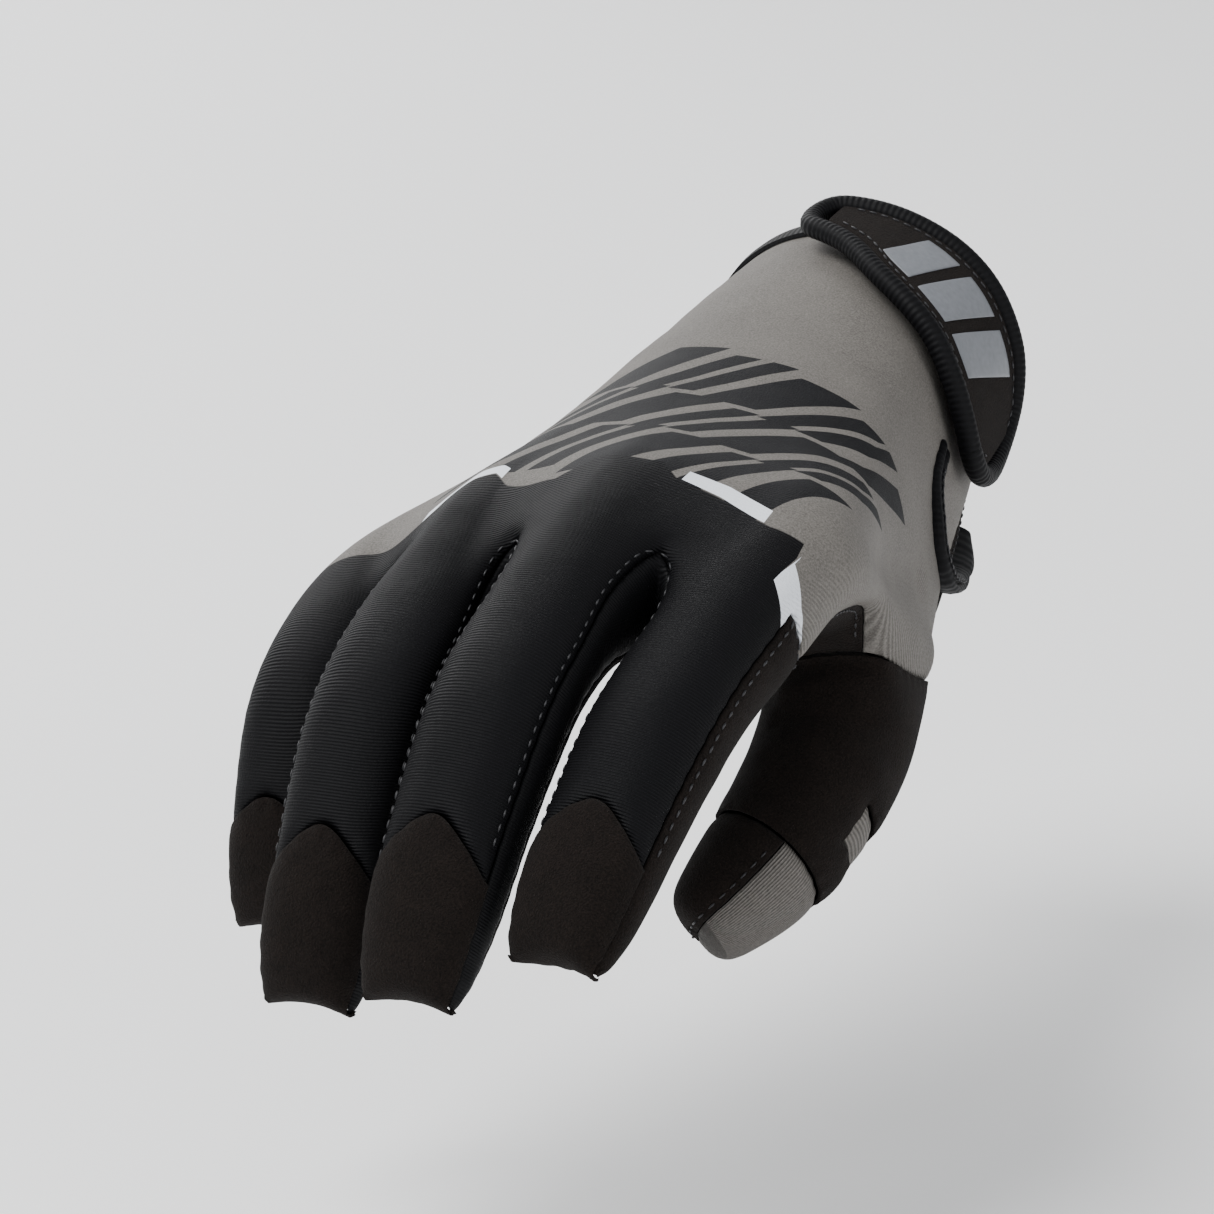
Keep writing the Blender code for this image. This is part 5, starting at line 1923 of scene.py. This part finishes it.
@dataclass
class Studio:
    """The pale floor and backdrop, the soft lights and the camera."""

    azimuth: float = 25.34
    elevation: float = 16.87
    roll: float = -0.45
    distance: float = 1.15
    lens: float = 194.39
    target: tuple[float, float, float] = (-0.0061, -0.1000, -0.0200)
    floor_drop: float = 0.11
    paper: str = "#fbfbfb"
    sky: str = "#f3f5f8"
    sky_strength: float = 0.62

    def back(self) -> Vector:
        """The way from the target to the camera."""
        a, e = math.radians(self.azimuth), math.radians(self.elevation)
        return Vector((math.sin(a) * math.cos(e), -math.cos(a) * math.cos(e), math.sin(e)))

    def floor(self) -> bpy.types.Object:
        """A floor that curves up into a backdrop behind the glove."""
        bm = bmesh.new()
        bmesh.ops.create_grid(bm, x_segments=1, y_segments=1, size=2.5)
        bmesh.ops.translate(bm, verts=bm.verts, vec=(0, 0, -self.floor_drop))
        away = -Vector((self.back().x, self.back().y, 0)).normalized()
        turn = Matrix.Rotation(math.atan2(away.y, away.x) - math.pi / 2, 3, "Z")
        bmesh.ops.rotate(bm, cent=(0, 0, 0), matrix=turn, verts=bm.verts)
        bm.edges.ensure_lookup_table()
        far = max(bm.edges, key=lambda e: (e.verts[0].co + e.verts[1].co).dot(away))
        wall = bmesh.ops.extrude_edge_only(bm, edges=[far])
        raised = [g for g in wall["geom"] if isinstance(g, bmesh.types.BMVert)]
        bmesh.ops.translate(bm, verts=raised, vec=(0, 0, 2.5))
        bmesh.ops.bevel(bm, geom=[far], offset=1.0, segments=16, profile=0.5, affect="EDGES", material=-1)
        bmesh.ops.recalc_face_normals(bm, faces=bm.faces)
        for f in bm.faces:
            f.smooth = True
        mesh = bpy.data.meshes.new("studio_floor")
        bm.to_mesh(mesh)
        bm.free()
        mat, shader = new_material("matt_white_paper", 0.9)
        shader.inputs["Base Color"].default_value = linear(self.paper)
        mesh.materials.append(mat)
        obj = add_object("studio_floor", mesh)
        return obj

    def light(
        self, name: str, way: tuple[float, float, float], reach: float, size: float, power: float
    ) -> None:
        """Adds one soft light that faces the glove.

        Args:
            name: its name.
            way: the way to it from the glove.
            reach: how far off it stands.
            size: how wide it is.
            power: its power in watts.
        """
        data = bpy.data.lights.new(name, "AREA")
        data.shape = "DISK"
        data.size = size
        data.energy = power
        obj = add_object(name, data)
        way = Vector(way).normalized()
        obj.location = Vector(self.target) + way * reach
        obj.rotation_euler = way.to_track_quat("Z", "Y").to_euler()

    def camera(self) -> None:
        """Puts the camera at the photograph's angle."""
        data = bpy.data.cameras.new("camera")
        data.lens = self.lens
        data.sensor_width = 36.0
        obj = add_object("camera", data)
        back = self.back()
        right = (-back).cross(Vector((0, 0, 1))).normalized()
        up = right.cross(-back)
        r = math.radians(self.roll)
        right, up = math.cos(r) * right + math.sin(r) * up, -math.sin(r) * right + math.cos(r) * up
        turn = Matrix((right, up, back)).transposed()
        obj.rotation_euler = turn.to_euler()
        obj.location = Vector(self.target) + back * self.distance
        bpy.context.scene.camera = obj

    def build(self) -> None:
        """Sets up the whole studio."""
        self.floor()
        self.light("key_light", (-0.55, -0.45, 1.1), 1.2, 0.8, 20.0)
        self.light("fill_light", (1.1, -0.35, 0.35), 1.3, 1.1, 8.0)
        self.light("rim_light", (-0.9, 0.8, 0.6), 1.3, 0.9, 9.0)
        world = bpy.data.worlds.new("soft_white_room")
        world.use_nodes = True
        shade = world.node_tree.nodes["Background"]
        shade.inputs["Color"].default_value = linear(self.sky)
        shade.inputs["Strength"].default_value = self.sky_strength
        bpy.context.scene.world = world
        self.camera()


PANEL_CUTS = (
    PanelCut(Panel.BACK, Cloth.BACK_KNIT),
    PanelCut(Panel.PALM, Cloth.SUEDE, wall=SUEDE_WALL),
    *(PanelCut(Panel(f.name + "_side"), Cloth.BLACK_KNIT, wall=SIDE_WALL) for f in FINGERS[:3]),
    *(PanelCut(Panel(f.name + "_cap"), Cloth.SUEDE, CAP_RAISE, 0.0) for f in FINGERS),
    PanelCut(Panel.THUMB_BASE, Cloth.SUEDE, CAP_RAISE, 0.0),
    PanelCut(Panel.THUMB_INSET, Cloth.GREY_RIB),
    PanelCut(Panel.THUMB_NAIL, Cloth.NAIL_RIB),
    PanelCut(Panel.THUMB_PAD, Cloth.SUEDE),
)

STITCH_ROWS = (
    *(StitchRow(Panel(f.name + "_cap"), Panel.BACK, 1.5) for f in FINGERS),
    *(StitchRow(Panel.BACK, Panel(f.name + "_side"), 1.5) for f in FINGERS[:3]),
    StitchRow(Panel.PALM, Panel.BACK, 1.4),
    StitchRow(Panel.THUMB_BASE, Panel.BACK, 1.6),
    StitchRow(Panel.THUMB_BASE, Panel.THUMB_NAIL, 1.6),
    StitchRow(Panel.THUMB_BASE, Panel.THUMB_PAD, 1.6),
    StitchRow(Panel.THUMB_BASE, Panel.THUMB_INSET, 1.4),
    StitchRow(Panel.THUMB_BASE, Panel.PALM, 1.6),
    StitchRow(Panel.THUMB_PAD, Panel.THUMB_NAIL, 1.4),
)


# The bars of the strap's print: the angles where each starts and ends, and its lean
PRINT_BARS = ((10, 26, 12), (31, 47, 12), (52, 66, 11))


def sew_skin(skin: Skin, thread: bpy.types.Material) -> None:
    """Sews the seams between the panels."""
    surface = BVHTree.FromPolygons(skin.places.tolist(), skin.faces.tolist())
    seams = Stitching()
    for row in STITCH_ROWS:
        seams.row(skin, surface, row)
        LOG.info("stitches on %s", row.on.value)
    seams.build("seam_stitches", thread)


def sew_strap(
    sewn: tuple[tuple[bpy.types.Object, list[np.ndarray]], ...], thread: bpy.types.Material
) -> None:
    """Sews the strap and the tape round the slit.

    Args:
        sewn: each piece with the lines of stitches on it.
        thread: the thread's material.
    """
    seams = Stitching(pitch=2.3 * MM)
    for piece, lines in sewn:
        mesh = piece.data
        tree = BVHTree.FromPolygons([v.co for v in mesh.vertices], [p.vertices for p in mesh.polygons])
        for line in lines:
            seams.sew(line, tree)
    seams.build("strap_stitches", thread)


def main() -> None:
    """Builds the glove's looks in order, and reports each piece."""
    logging.basicConfig(level=logging.INFO, format="%(message)s")
    cloths = {cloth: cloth.value.make() for cloth in Cloth}
    skin = Skin(SKIN_LEVELS)
    for cut in PANEL_CUTS:
        cut.build(skin, cloths[cut.cloth])

    wrist = Wrist(skin.cage)
    CuffBinding(skin).build(cloths[Cloth.TAPE])
    strap = Strap(wrist)
    strap.piping(cloths[Cloth.TAPE])
    flap = strap.flap(cloths[Cloth.SUEDE])
    for number, (first, last, lean) in enumerate(PRINT_BARS, start=1):
        strap.pad(number, first, last, lean, cloths[Cloth.SILICONE])
    slit = SlitTape(wrist)
    tape = slit.build(cloths[Cloth.TAPE])
    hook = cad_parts["strap_hook_patch"]
    hook.data.materials.clear()
    hook.data.materials.append(cloths[Cloth.TAPE])
    thread = cloths[Cloth.THREAD]
    sew_skin(skin, thread)
    sew_strap(((flap, strap.seam_line(1.1 * MM)), (tape, [slit.seam_line()])), thread)

    Studio().build()


if __name__ == "__main__":
    main()
